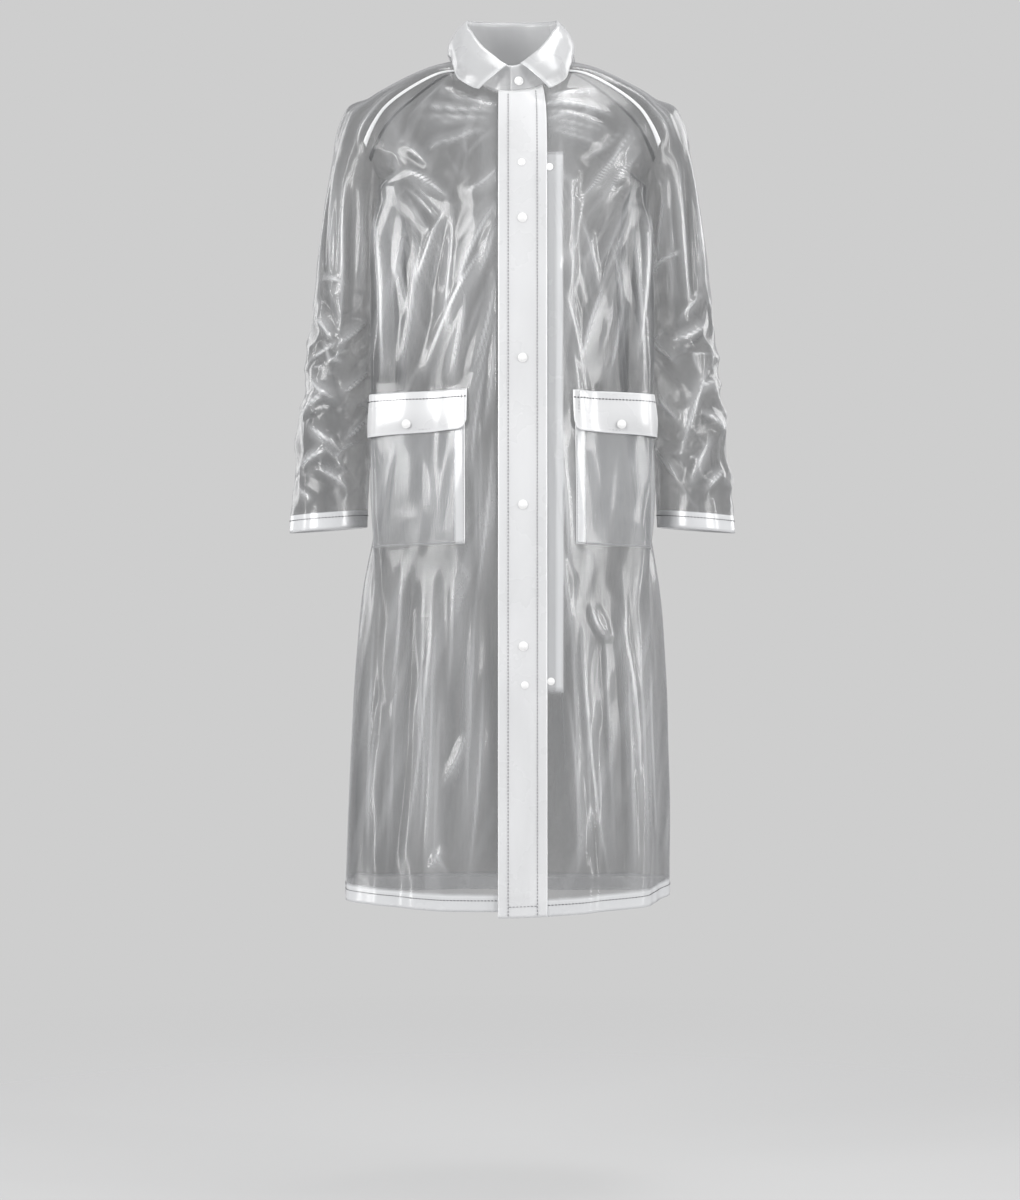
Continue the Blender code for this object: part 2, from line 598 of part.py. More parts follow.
def build_cloths(levels, grids, normals):
    """The main pieces and everything that lies on them."""
    stepped = np.zeros(grids["front_right"][0].shape[:2])
    stepped[:, -2:] = -UNDERLAP
    for name in grids:
        add_cloth(name, grids[name], normals[name], lift=stepped if name == "front_right" else 0.0)
    pieces = {name: (grids[name][-1], normals[name][-1]) for name in grids}
    every = slice(None)
    cuff = slice(SLEEVE_ROWS.index(CUFF_RING), None)
    hem = slice(len(levels) - 2, None)
    for side in ("right", "left"):
        add_patch("cuff_turn_" + side, pieces["sleeve_" + side], cuff, every, DOUBLED_FILM, -LAYER)
    add_patch("hem_turn_front_right", pieces["front_right"], hem, every, DOUBLED_FILM, stepped[hem] - LAYER)
    add_patch("hem_turn_front_left", pieces["front_left"], hem, every, DOUBLED_FILM, -LAYER)
    add_patch("hem_turn_back", pieces["back"], hem, every, DOUBLED_FILM, -LAYER)
    add_patch("placket", pieces["front_left"], every, slice(0, 3), DOUBLED_FILM, LAYER)

    top, middle, bottom = (
        int(np.argmin(np.abs(levels - down))) for down in (FLAP_TOP, FLAP_BOTTOM, POCKET_BOTTOM)
    )
    for side, columns in (("right", slice(2, 2 + POCKET_COLUMNS)), ("left", slice(3, 3 + POCKET_COLUMNS))):
        front = pieces["front_" + side]
        add_patch("pocket_" + side, front, slice(top, bottom + 1), columns, FILM, LAYER)
        add_patch("pocket_flap_" + side, front, slice(top, middle + 1), columns, DOUBLED_FILM, 2 * LAYER)


def build_storm_flap(levels):
    """The inner strip that carries on from the right front's edge under the left front."""
    between = [down for down in levels if STORM_TOP + ROW_APART < down < STORM_BOTTOM - ROW_APART]
    rows = [STORM_TOP, *between, STORM_BOTTOM]
    strip = np.array([on_row(down, "front", storm_flap_places) for down in rows])
    add_cloth("storm_flap", [strip], shared_normals([[strip]])[0], DOUBLED_FILM, -UNDERLAP)


def build_snaps(grids, stand):
    """Snap caps on the placket, the flaps and the collar, and the flat ones between the layers."""
    face = WALL / 2 + SNAP_SEAT
    left = grids["front_left"][0]
    for number, (down, sideways) in enumerate(FRONT_SNAPS, 1):
        add_snap(f"snap_front_{number}", on_grid(left, -down, sideways), LAYER + face)
    for number, (down, sideways) in enumerate(UNDER_SNAPS, 1):
        place = on_grid(left, -down, sideways)
        add_snap(f"snap_under_{number}", place, face - UNDERLAP, UNDER_SNAP_RADIUS, UNDER_SNAP_HEIGHT)
    for side, (down, sideways) in FLAP_SNAPS.items():
        place = on_grid(grids["front_" + side][0], -down, sideways)
        add_snap("snap_flap_" + side, place, 2 * LAYER + face)
    down, sideways = COLLAR_SNAP
    add_snap("snap_collar", on_grid(stand, -down, sideways), face)


def main():
    for old in list(bpy.data.objects):
        bpy.data.objects.remove(old)
    levels, grids, normals = body_and_sleeves()
    opened = open_the_seams(grids, normals)
    build_cloths(levels, opened, normals)
    build_storm_flap(levels)
    stand = build_collar(grids)
    build_snaps(opened, stand)


main()
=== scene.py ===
# %% [markdown]
# # A clear film raincoat
# This is a long raincoat of soft see-through film, in the shape it has when somebody wears it, but
# with nobody inside. One film looks thin and grey, and wherever two films lie on each other, as at
# the hem, cuffs, placket, flaps and collar, it looks white. The lesson builds each cut piece as a
# fine curved sheet on the imported solid's form, lays the folds on it, and then dresses it
# with stitches, welds and snaps. Distances are metres, +X is the wearer's left, -Y the front.

# %% Load the imported coat
import math

import bpy
import numpy as np
from mathutils import Matrix


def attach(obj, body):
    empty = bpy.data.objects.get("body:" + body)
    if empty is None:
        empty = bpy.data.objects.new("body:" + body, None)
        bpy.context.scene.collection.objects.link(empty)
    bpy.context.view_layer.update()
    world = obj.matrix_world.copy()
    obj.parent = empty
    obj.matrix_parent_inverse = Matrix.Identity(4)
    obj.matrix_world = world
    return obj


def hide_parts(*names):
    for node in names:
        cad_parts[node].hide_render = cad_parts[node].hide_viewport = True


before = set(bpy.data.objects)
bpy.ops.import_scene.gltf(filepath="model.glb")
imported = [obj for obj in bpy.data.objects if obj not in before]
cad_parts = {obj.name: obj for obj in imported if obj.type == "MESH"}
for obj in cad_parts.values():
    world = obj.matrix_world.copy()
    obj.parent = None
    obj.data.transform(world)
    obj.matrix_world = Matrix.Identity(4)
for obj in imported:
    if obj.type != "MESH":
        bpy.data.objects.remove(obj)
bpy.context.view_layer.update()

# %% [markdown]
# ## The cut of the coat
# A coat is drafted from a few measures taken level by level: how far the front and the back stand
# out, how wide it is at the side seams, and how the raglan sleeve runs from the neck over the
# shoulder and down the arm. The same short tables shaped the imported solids, so every fine sheet
# lies on its solid. A smooth curve that never swings past its values joins the rows.

# %% Measures of the body
def table(columns, *rows):
    """A table with named columns, given one row at a time."""
    return dict(zip(columns.split(), np.array(rows, float).T))


LEVELS = table(
    "down front_y back_y wrap square front_corner back_corner",
    (0.050, -0.093, 0.078, 62, 1.00, 0.000, 0.000),
    (0.072, -0.105, 0.104, 62, 1.00, 0.000, 0.000),
    (0.110, -0.121, 0.127, 64, 1.00, 0.000, 0.000),
    (0.150, -0.133, 0.141, 76, 0.94, 0.014, 0.006),
    (0.180, -0.139, 0.148, 90, 0.82, 0.044, 0.022),
    (0.260, -0.147, 0.150, 90, 0.80, 0.068, 0.040),
    (0.340, -0.149, 0.143, 90, 0.80, 0.068, 0.040),
    (0.450, -0.149, 0.133, 90, 0.80, 0.059, 0.034),
    (0.600, -0.151, 0.138, 90, 0.81, 0.036, 0.020),
    (0.750, -0.155, 0.148, 90, 0.84, 0.010, 0.004),
    (0.950, -0.161, 0.158, 90, 0.86, 0.000, 0.000),
    (1.158, -0.167, 0.167, 90, 0.88, 0.000, 0.000),
)
SIDES = table(
    "down left_x right_x y",
    (0.180, 0.1720, 0.1720, 0.002),
    (0.205, 0.1570, 0.1570, 0.004),
    (0.240, 0.1520, 0.1520, 0.006),
    (0.340, 0.1530, 0.1530, 0.007),
    (0.450, 0.1620, 0.1620, 0.006),
    (0.600, 0.1850, 0.1850, 0.004),
    (0.720, 0.2040, 0.2060, 0.003),
    (0.800, 0.2100, 0.2140, 0.003),
    (0.960, 0.2150, 0.2240, 0.002),
    (1.158, 0.2180, 0.2310, 0.000),
)
# cloth, place as a share of the half width, width, depth, level where it starts
FLUTES = (
    ("front", -0.74, 0.16, 0.009, 0.62),
    ("front", -0.47, 0.13, -0.008, 0.70),
    ("front", -0.22, 0.10, 0.005, 0.66),
    ("front", 0.36, 0.11, -0.006, 0.60),
    ("front", 0.56, 0.13, 0.009, 0.56),
    ("front", 0.80, 0.14, -0.006, 0.66),
    ("back", -0.70, 0.18, 0.011, 0.55),
    ("back", -0.40, 0.14, -0.009, 0.60),
    ("back", -0.12, 0.16, 0.010, 0.50),
    ("back", 0.20, 0.15, -0.010, 0.58),
    ("back", 0.46, 0.14, 0.009, 0.52),
    ("back", 0.74, 0.16, -0.006, 0.62),
)
print("hem", LEVELS["down"][-1], "m below the neck,", len(FLUTES), "hanging folds in the skirt")

# %% Measures of the sleeves and collar
SLEEVE = table(
    "ring x y z reach_x reach_z depth dip wrap",
    (0, 0.064, 0.002, -0.004, 0.013, 0.011, 0.046, 0.010, 90),
    (1, 0.096, 0.002, -0.013, 0.010, 0.014, 0.054, 0.006, 90),
    (2, 0.137, 0.001, -0.038, 0.014, 0.020, 0.070, 0.004, 90),
    (3, 0.178, 0.000, -0.074, 0.016, 0.029, 0.077, 0.002, 92),
    (4, 0.200, 0.002, -0.121, 0.028, 0.057, 0.077, 0.000, 92),
    (5, 0.208, 0.004, -0.156, 0.036, 0.050, 0.073, 0.000, 92),
    (6, 0.212, 0.004, -0.197, 0.042, 0.039, 0.070, 0.000, 92),
    (7, 0.216, 0.002, -0.244, 0.048, 0.026, 0.067, 0.000, 92),
    (8, 0.220, 0.000, -0.290, 0.052, 0.012, 0.065, 0.000, 92),
    (9, 0.226, -0.003, -0.340, 0.053, 0.004, 0.063, 0.000, 92),
    (10, 0.233, -0.007, -0.395, 0.053, 0.000, 0.061, 0.000, 92),
    (11, 0.239, -0.012, -0.450, 0.053, -0.002, 0.060, 0.000, 92),
    (12, 0.245, -0.020, -0.515, 0.053, -0.003, 0.058, 0.000, 92),
    (13, 0.250, -0.028, -0.580, 0.053, -0.004, 0.055, 0.000, 92),
    (14, 0.253, -0.036, -0.645, 0.0535, -0.004, 0.053, 0.000, 92),
)
COLLAR = table(
    "angle lean fold_z edge_angle edge_reach edge_z",
    (0, 0.93, -0.014, 20, 0.108, -0.047),
    (4, 0.93, -0.013, 24, 0.109, -0.047),
    (20, 0.92, 0.003, 37, 0.113, -0.036),
    (45, 0.88, 0.030, 56, 0.098, -0.008),
    (70, 0.83, 0.052, 76, 0.087, 0.010),
    (90, 0.80, 0.062, 92, 0.087, 0.015),
    (135, 0.82, 0.069, 135, 0.102, 0.008),
    (180, 0.85, 0.072, 180, 0.106, 0.000),
)
# ring, angle, reach along in rings, reach around in degrees, depth
ELBOW_FOLDS = (
    (9.4, 40, 0.8, 70, -0.005),
    (10.2, 75, 0.7, 60, 0.004),
    (10.9, 20, 0.7, 75, -0.006),
    (11.7, 70, 0.7, 65, 0.004),
    (12.3, 30, 0.6, 60, -0.004),
    (10.4, -70, 0.9, 60, -0.005),
    (11.6, -60, 0.8, 65, 0.004),
)
NECK_DOWN, YOKE_DOWN, ARMPIT_DOWN, HEM_DOWN = 0.050, 0.136, 0.180, 1.158
HEM_RISE, LEFT_DROP, HEM_LEVELS = 0.012, 0.008, 0.25  # how the hem curves, and from how far up
DROOP, DROOP_MIDDLE, DROOP_REACH = 0.022, 0.55, 0.36  # the side seams sag between waist and hem
BACK_NECK_RISE = 0.062
HEM_TURN = 0.020
PLACKET_EDGE, PLACKET_INNER = -0.019, 0.047
UNDER_EDGE, UNDER_STEP, UNDER_FLUSH, UNDERLAP = 0.024, -0.027, -0.055, 0.0038
STORM_EDGE, STORM_TOP, STORM_BOTTOM = 0.069, 0.137, 0.865
CORNER_AT, CORNER_WIDTH = 0.55, 0.22
POCKET_TOP, POCKET_BOTTOM, FLAP_BOTTOM = 0.461, 0.665, 0.517
ARMHOLE_RING, CUFF_RING, LAST_RING = 4, 13.65, 14
HALF_SAMPLES = 241  # points read along half a level
print("sleeve rings:", len(SLEEVE["ring"]), "collar angles:", len(COLLAR["angle"]))

# %% Curves through the measures
def smooth(knots, values, at):
    """A smooth curve through values at rising knots, that never swings past them."""
    at = np.clip(at, knots[0], knots[-1])
    step = np.diff(knots)
    slope = np.diff(values) / step
    before, after = slope[:-1], slope[1:]
    same_way = before * after > 0
    total = np.where(same_way, before + after, 1.0)
    inner = np.where(same_way, 2 * before * after / total, 0.0)
    lean = np.concatenate([slope[:1], inner, slope[-1:]])
    span = np.clip(np.searchsorted(knots, at, side="right") - 1, 0, len(knots) - 2)
    part = (at - knots[span]) / step[span]
    rise = values[span + 1] - values[span]
    ease = part * part * (3 - 2 * part)
    start = part * (1 - part) ** 2
    end = part * part * (part - 1)
    return values[span] + rise * ease + step[span] * (lean[span] * start + lean[span + 1] * end)


def read(rows, key, at):
    """Every column of a table but its key, read smoothly at the key's values."""
    return {name: smooth(rows[key], column, at) for name, column in rows.items() if name != key}


def bump(distance):
    """1 at 0, falling smoothly to 0 at a distance of 1."""
    return np.cos(np.clip(distance, -1, 1) * math.pi / 2) ** 2


def ramp(value):
    """0 up to 0, 1 from 1 on, and a smooth rise between."""
    value = np.clip(value, 0, 1)
    return value * value * (3 - 2 * value)


print("half width at the hem:", round(float(read(SIDES, "down", HEM_DOWN)["left_x"]), 3), "m")

# %% [markdown]
# ## From measures to surfaces
# A raglan sleeve is a ring of cloth that travels from the neck, over the shoulder, down to the
# cuff. Up to the armhole it is open below, and its two open edges are the raglan seams that the
# fronts and back are sewn to. So the body's outer edge is read from the sleeve, and seams meet.

# %% Sleeve and body surfaces
def sleeve_points(rings, angles, side):
    """Points of a sleeve. Angles are in degrees round a ring from its crown, positive to the front."""
    rings, angles = np.broadcast_arrays(rings, angles)
    ring = read(SLEEVE, "ring", rings)
    out = np.zeros(rings.shape)
    for at, place, along, around, depth in ELBOW_FOLDS:
        turned = (angles - place + 180) % 360 - 180
        out = out + depth * bump((rings - at) / along) * bump(turned / around)
    cosine = np.cos(np.radians(angles)) * (1 + out / ring["depth"])
    sine = np.sin(np.radians(angles)) * (1 + out / ring["depth"])
    x = ring["x"] + ring["reach_x"] * cosine
    y = ring["y"] - ring["depth"] * sine
    z = ring["z"] + ring["reach_z"] * cosine - ring["dip"] * sine
    return np.stack([side * x, y, z], axis=-1)


def near_hem(down):
    """0 above the skirt's last part, rising smoothly to 1 at the hem."""
    return bump(np.clip((HEM_DOWN - down) / HEM_LEVELS, 0, 1))


def seam_angle(ring):
    """The angle from the crown to the raglan seam."""
    return smooth(SLEEVE["ring"], SLEEVE["wrap"], ring)


def panel_edge(down, side, cloth):
    """The outer edge of a front or back at one level: raglan seam, armhole, then side seam."""
    front = 1 if cloth == "front" else -1
    if down < YOKE_DOWN:
        ring = ARMHOLE_RING * (down - NECK_DOWN) / (YOKE_DOWN - NECK_DOWN)
        return sleeve_points(ring, front * seam_angle(ring), side)
    if down <= ARMPIT_DOWN:
        start = seam_angle(ARMHOLE_RING)
        under = (down - YOKE_DOWN) / (ARMPIT_DOWN - YOKE_DOWN)
        return sleeve_points(ARMHOLE_RING, front * (start + (180 - start) * under), side)
    seam = read(SIDES, "down", down)
    half_width = seam["left_x"] if side > 0 else seam["right_x"]
    droop = DROOP * bump((down - DROOP_MIDDLE) / DROOP_REACH) - HEM_RISE * near_hem(down)
    return np.array([side * half_width, seam["y"], -down - droop])


def half_row(down, side, cloth):
    """Close points along one level of a front or back, from its middle to its outer edge."""
    level = read(LEVELS, "down", down)
    edge = panel_edge(down, side, cloth)
    share = np.linspace(0, 1, HALF_SAMPLES)
    wrap = math.radians(level["wrap"])
    across = (np.sin(share * wrap) / math.sin(wrap)) ** level["square"]
    left = np.clip((np.cos(share * wrap) - math.cos(wrap)) / (1 - math.cos(wrap)), 0, 1)
    x = abs(edge[0]) * across
    y = edge[1] + (level[cloth + "_y"] - edge[1]) * left ** level["square"]
    folded = np.zeros(HALF_SAMPLES)
    for where, place, width, depth, start in FLUTES:
        if where == cloth:
            grown = np.clip((down - start) / (HEM_DOWN - start), 0, 1) ** 1.3
            folded = folded + depth * grown * bump((share - side * place) / width)
    outward = np.stack([x, y]) / np.maximum(np.hypot(x, y), 1e-6)
    corner = level[cloth + "_corner"] * bump((share - CORNER_AT) / CORNER_WIDTH)
    x = x + folded * outward[0] + corner
    y = y + folded * outward[1]
    above = max(0.0, (ARMPIT_DOWN - down) / (ARMPIT_DOWN - NECK_DOWN))
    rise = BACK_NECK_RISE * above**1.5 if cloth == "back" else 0.0
    z = -down + rise + (edge[2] + down - rise) * share**2
    return np.stack([side * x, y, z], axis=-1)


print("left cuff's crown:", sleeve_points(14, 0, 1).round(3))

# %% [markdown]
# ## Folds in soft film
# Film doesn't stretch, so it bends in straight-ish ridges that fan out from where it is pulled: the
# collar, the armholes, the snaps and the pocket corners. Each ridge or trough is one row of a
# table: where it starts and ends, how wide its flank is, how deep it is, and how much it bows. A
# ridge has a sharp back, one steep flank and one gentle one. Nothing is evenly spaced.

# %% How a fold is laid
RIDGE_BACK = 0.0045  # radius of a fold's sharp back
STEEP, GENTLE = 0.38, 0.85  # how wide its two flanks are, as shares of the table's
FOOT = 2.2  # how far a flank runs out, in flank widths
HIGHLIGHT_HALF = 0.0032  # half width of the painted highlight line on its back
FULL_DEPTH = 0.006  # a fold this deep gets the strongest painted highlight


def lay_folds(across, down, folds):
    """The height of the folds over a sheet, and how strongly each point carries painted highlight: a
    sharp painted line on the back of a ridge and a soft painted sheen band along it."""
    ridges = np.zeros(across.shape)
    troughs = np.zeros(across.shape)
    white_and_highlight = np.zeros(across.shape)
    for x, top, x_end, bottom, width, depth, bow in folds:
        run_x, run_down = x_end - x, bottom - top
        length = math.hypot(run_x, run_down)
        along = ((across - x) * run_x + (down - top) * run_down) / length**2
        aside = ((across - x) * run_down - (down - top) * run_x) / length
        aside = aside - 4 * bow * along * (1 - along)
        taper = np.sin(np.pi * np.clip(along, 0, 1)) ** 0.75
        flank = np.where(aside * width > 0, GENTLE, STEEP) * abs(width)
        off = np.sqrt(aside**2 + RIDGE_BACK**2) - RIDGE_BACK
        laid = depth * taper * np.clip(1 - off / (FOOT * flank), 0, 1) ** 1.25
        ridges, troughs = np.maximum(ridges, laid), np.minimum(troughs, laid)
        strength = np.clip(abs(depth) / FULL_DEPTH, 0, 1) * taper
        # painted highlight in place of lamp reflections: a white line on a ridge's back and a soft sheen
        # band beside it
        ridge_highlight = 0.80 * np.exp(-((aside / HIGHLIGHT_HALF) ** 2))
        sheen_band = 0.0
        if depth > 0:
            sheen_band = 0.42 * np.exp(-((aside - 0.3 * width) / (0.8 * abs(width))) ** 2)
        white_and_highlight = np.maximum(white_and_highlight, strength * np.maximum(ridge_highlight, sheen_band))
    return ridges + troughs, white_and_highlight


def fan(starts, ends, count, width, depth, seed):
    """A spray of thin straight folds. They start between two places and end between two others,
    unevenly spaced, long and deep."""
    (x_a, down_a), (x_b, down_b) = starts
    (end_a, low_a), (end_b, low_b) = ends
    rows = []
    for number in range(count):
        toss = [math.sin(3.7 * seed + 2.4 * number + 1.3 * k) for k in range(4)]
        part = (number + 0.5 + 0.35 * toss[0]) / count
        x, down = x_a + (x_b - x_a) * part, down_a + (down_b - down_a) * part
        x_end, low = end_a + (end_b - end_a) * part, low_a + (low_b - low_a) * part
        reach = 0.62 + 0.36 * abs(toss[1])
        late = (1 - reach) * abs(toss[2])
        flank = width * (0.7 + 0.5 * abs(toss[2])) * (1 if toss[3] > 0 else -1)
        rows.append((
            x + (x_end - x) * late, down + (low - down) * late,
            x + (x_end - x) * (late + reach), down + (low - down) * (late + reach),
            flank, depth * (0.6 + 0.5 * abs(toss[1])), 0.003 * toss[0],
        ))
    return tuple(rows)


def waves(across, down, wide, long, seed):
    """Slow uneven swells, about 'wide' across and 'long' down, from -1 to 1."""
    u, v = across / wide, down / long
    bent = u + 0.22 * np.sin(1.9 * v + seed) + 0.30 * np.sin(0.8 * u - 0.9 * v + 2.1 * seed)
    first = np.sin(2 * math.pi * bent + 0.5 * np.sin(2.6 * v + 1.7 * seed))
    second = np.sin(2 * math.pi * (0.57 * u + 0.34 * v) + 3.1 * seed + 1.2 * np.sin(1.7 * u + seed))
    return 0.6 * first + 0.4 * second


def crumple(across, down, cell, stretch, seed):
    """Flat facets with straight ridges between them, as in film that has been folded away. Facets
    are about 'cell' wide and 'stretch' times as long. Gives the height, from -0.45 to 0.75, and how
    near each point is to a ridge, from 0 to 1."""
    u, v = across / cell, down / (cell * stretch)
    u, v = u + 0.35 * np.sin(1.7 * v + seed), v + 0.35 * np.sin(1.3 * u + 2 * seed)
    best = np.full(u.shape, 9.0)
    second = np.full(u.shape, 9.0)
    for step_u in (-1, 0, 1):
        for step_v in (-1, 0, 1):
            i, j = np.floor(u) + step_u, np.floor(v) + step_v
            mixed = np.sin(i * 127.1 + j * 311.7 + seed * 74.7) * 43758.5453
            other = np.sin(i * 269.5 + j * 183.3 + seed * 19.3) * 24634.6345
            toss = mixed - np.floor(mixed), other - np.floor(other)
            far = (u - i - toss[0]) ** 2 + (v - j - toss[1]) ** 2 + 0.35 * toss[0] * toss[1]
            second = np.minimum(second, np.maximum(best, far))
            best = np.minimum(best, far)
    some = np.clip(0.5 + 0.9 * np.sin(2.3 * u + seed) * np.sin(1.9 * v + 2 * seed), 0, 1)
    border = some * np.exp(-((second - best) / 0.07) ** 2)
    return np.clip(best, 0, 1.2) - 0.45, border


upright = ((0, 0, 0, 1, 0.014, 0.006, 0),)
heights, _ = lay_folds(np.array([0.0, 0.01, -0.01]), np.full(3, 0.5), upright)
print("a fold 6 mm deep stands", (heights * 1000).round(1), "mm at its back and 10 mm to each side")

# %% [markdown]
# ## Folds of each piece
# On the fronts the strongest folds fan from the armholes and from the placket at chest height, and
# long soft ones run down to the pockets and below them. A place is the distance from the middle and
# the level below the neck.

# %% Folds of the fronts
# x and level of the start, x and level of the end, flank, depth, bow
FRONT_FOLDS = (
    # wearer's right: chest and armhole
    (-0.160, 0.112, -0.106, 0.166, 0.010, 0.0040, 0.004),
    (-0.152, 0.155, -0.080, 0.204, -0.013, 0.0065, 0.005),
    (-0.150, 0.178, -0.096, 0.235, 0.012, -0.0045, 0.003),
    (-0.083, 0.198, -0.139, 0.356, 0.015, 0.0070, -0.006),
    (-0.082, 0.203, -0.096, 0.402, -0.012, 0.0055, 0.005),
    (-0.092, 0.225, -0.114, 0.330, 0.010, -0.0040, 0.002),
    (-0.128, 0.230, -0.150, 0.432, 0.016, 0.0060, 0.006),
    (-0.141, 0.215, -0.165, 0.330, -0.010, 0.0035, 0.002),
    (-0.086, 0.318, -0.088, 0.392, 0.007, 0.0045, 0.001),
    (-0.188, 0.196, -0.176, 0.446, 0.015, 0.0060, 0.004),
    (-0.062, 0.300, -0.082, 0.452, -0.012, 0.0045, 0.005),
    (-0.104, 0.094, -0.072, 0.098, 0.006, 0.0030, 0.001),
    (-0.030, 0.088, -0.120, 0.082, 0.011, 0.0045, 0.004),
    (-0.036, 0.104, -0.092, 0.130, -0.012, 0.0040, -0.004),
    (-0.022, 0.076, -0.132, 0.066, -0.010, 0.0050, 0.006),
    (-0.020, 0.070, -0.104, 0.044, 0.009, 0.0045, 0.004),
    # from the placket at chest height, down to the pocket
    (-0.014, 0.150, -0.070, 0.196, 0.014, 0.0045, 0.006),
    (-0.016, 0.196, -0.079, 0.350, -0.016, 0.0070, -0.008),
    (-0.018, 0.236, -0.122, 0.448, 0.017, 0.0060, -0.010),
    (-0.020, 0.282, -0.058, 0.446, -0.012, 0.0050, 0.006),
    (-0.022, 0.226, -0.052, 0.316, 0.010, -0.0050, 0.003),
    (-0.020, 0.330, -0.040, 0.520, 0.012, 0.0050, 0.004),
    (-0.030, 0.395, -0.055, 0.600, -0.013, 0.0045, -0.006),
    (-0.026, 0.500, -0.052, 0.760, 0.015, 0.0045, 0.005),
    # wearer's left: chest and armhole
    (0.166, 0.096, 0.070, 0.222, 0.013, 0.0055, 0.006),
    (0.178, 0.124, 0.112, 0.220, -0.011, 0.0045, -0.004),
    (0.150, 0.100, 0.094, 0.148, 0.010, -0.0035, 0.004),
    (0.186, 0.190, 0.165, 0.432, -0.010, 0.0060, 0.006),
    (0.160, 0.215, 0.178, 0.452, 0.014, 0.0050, 0.004),
    (0.128, 0.235, 0.150, 0.395, 0.012, 0.0045, 0.006),
    (0.130, 0.300, 0.088, 0.440, 0.014, 0.0060, -0.005),
    (0.148, 0.330, 0.128, 0.452, -0.012, -0.0045, 0.004),
    (0.076, 0.160, 0.078, 0.330, 0.010, 0.0045, 0.004),
    (0.084, 0.205, 0.118, 0.350, -0.013, 0.0045, 0.007),
    (0.098, 0.180, 0.074, 0.300, 0.010, -0.0040, 0.003),
    (0.072, 0.330, 0.096, 0.455, 0.012, 0.0045, 0.004),
    (0.030, 0.090, 0.122, 0.074, -0.010, 0.0040, -0.004),
    (0.050, 0.104, 0.112, 0.116, 0.012, 0.0035, 0.004),
    (0.022, 0.072, 0.140, 0.086, 0.010, 0.0055, 0.008),
    (0.026, 0.064, 0.120, 0.050, -0.009, 0.0045, 0.004),
    (0.040, 0.080, 0.134, 0.106, -0.010, 0.0045, 0.006),
    # between the placket and the left pocket
    (0.056, 0.480, 0.076, 0.720, 0.010, 0.0055, 0.005),
    (0.066, 0.620, 0.084, 0.800, -0.012, 0.0045, -0.005),
    # skirt, wearer's right
    (-0.104, 0.690, -0.152, 1.128, 0.020, 0.0050, 0.008),
    (-0.150, 0.676, -0.168, 0.900, -0.016, 0.0045, 0.006),
    (-0.056, 0.900, -0.104, 1.004, 0.013, 0.0050, 0.006),
    (-0.080, 0.700, -0.088, 0.880, 0.013, 0.0035, 0.004),
    (-0.040, 0.820, -0.060, 1.120, -0.018, 0.0045, 0.006),
    (-0.118, 0.860, -0.128, 1.090, 0.015, -0.0040, 0.004),
    (-0.090, 1.066, -0.112, 1.104, 0.008, 0.0040, 0.002),
    (-0.110, 1.072, -0.084, 1.112, -0.008, 0.0035, 0.002),
    (-0.178, 0.860, -0.196, 1.110, 0.016, 0.0040, -0.004),
    # skirt, wearer's left
    (0.090, 0.745, 0.134, 1.128, 0.019, 0.0055, -0.008),
    (0.142, 0.730, 0.172, 1.020, -0.016, 0.0050, 0.007),
    (0.106, 0.742, 0.140, 0.800, 0.011, 0.0050, -0.010),
    (0.072, 0.850, 0.088, 1.120, 0.016, 0.0045, 0.006),
    (0.112, 0.900, 0.118, 1.110, -0.014, -0.0040, 0.004),
    (0.186, 0.800, 0.200, 1.100, 0.016, 0.0045, -0.006),
)
FRONT_FANS = (
    *fan(((-0.150, 0.150), (-0.166, 0.240)), ((-0.066, 0.230), (-0.128, 0.446)), 5, 0.011, 0.0034, 1),
    *fan(((-0.021, 0.150), (-0.022, 0.350)), ((-0.104, 0.250), (-0.062, 0.520)), 6, 0.010, 0.0032, 2),
    *fan(((0.170, 0.130), (0.172, 0.250)), ((0.078, 0.250), (0.142, 0.450)), 5, 0.011, 0.0034, 3),
    *fan(((0.074, 0.150), (0.080, 0.400)), ((0.120, 0.330), (0.096, 0.580)), 4, 0.010, 0.0030, 4),
    *fan(((-0.190, 0.690), (-0.030, 0.680)), ((-0.206, 1.130), (-0.050, 1.130)), 8, 0.012, 0.0038, 5),
    *fan(((0.070, 0.690), (0.188, 0.690)), ((0.088, 1.130), (0.206, 1.130)), 7, 0.012, 0.0038, 6),
    *fan(((-0.060, 0.500), (-0.026, 0.480)), ((-0.056, 0.700), (-0.028, 0.740)), 3, 0.009, 0.0030, 7),
    *fan(((0.030, 0.066), (0.044, 0.110)), ((0.150, 0.070), (0.130, 0.140)), 3, 0.018, 0.0036, 8),
    *fan(((-0.026, 0.070), (-0.036, 0.110)), ((-0.144, 0.062), (-0.120, 0.140)), 3, 0.018, 0.0036, 9),
)
print("folds laid on the fronts:", len(FRONT_FOLDS) + len(FRONT_FANS))

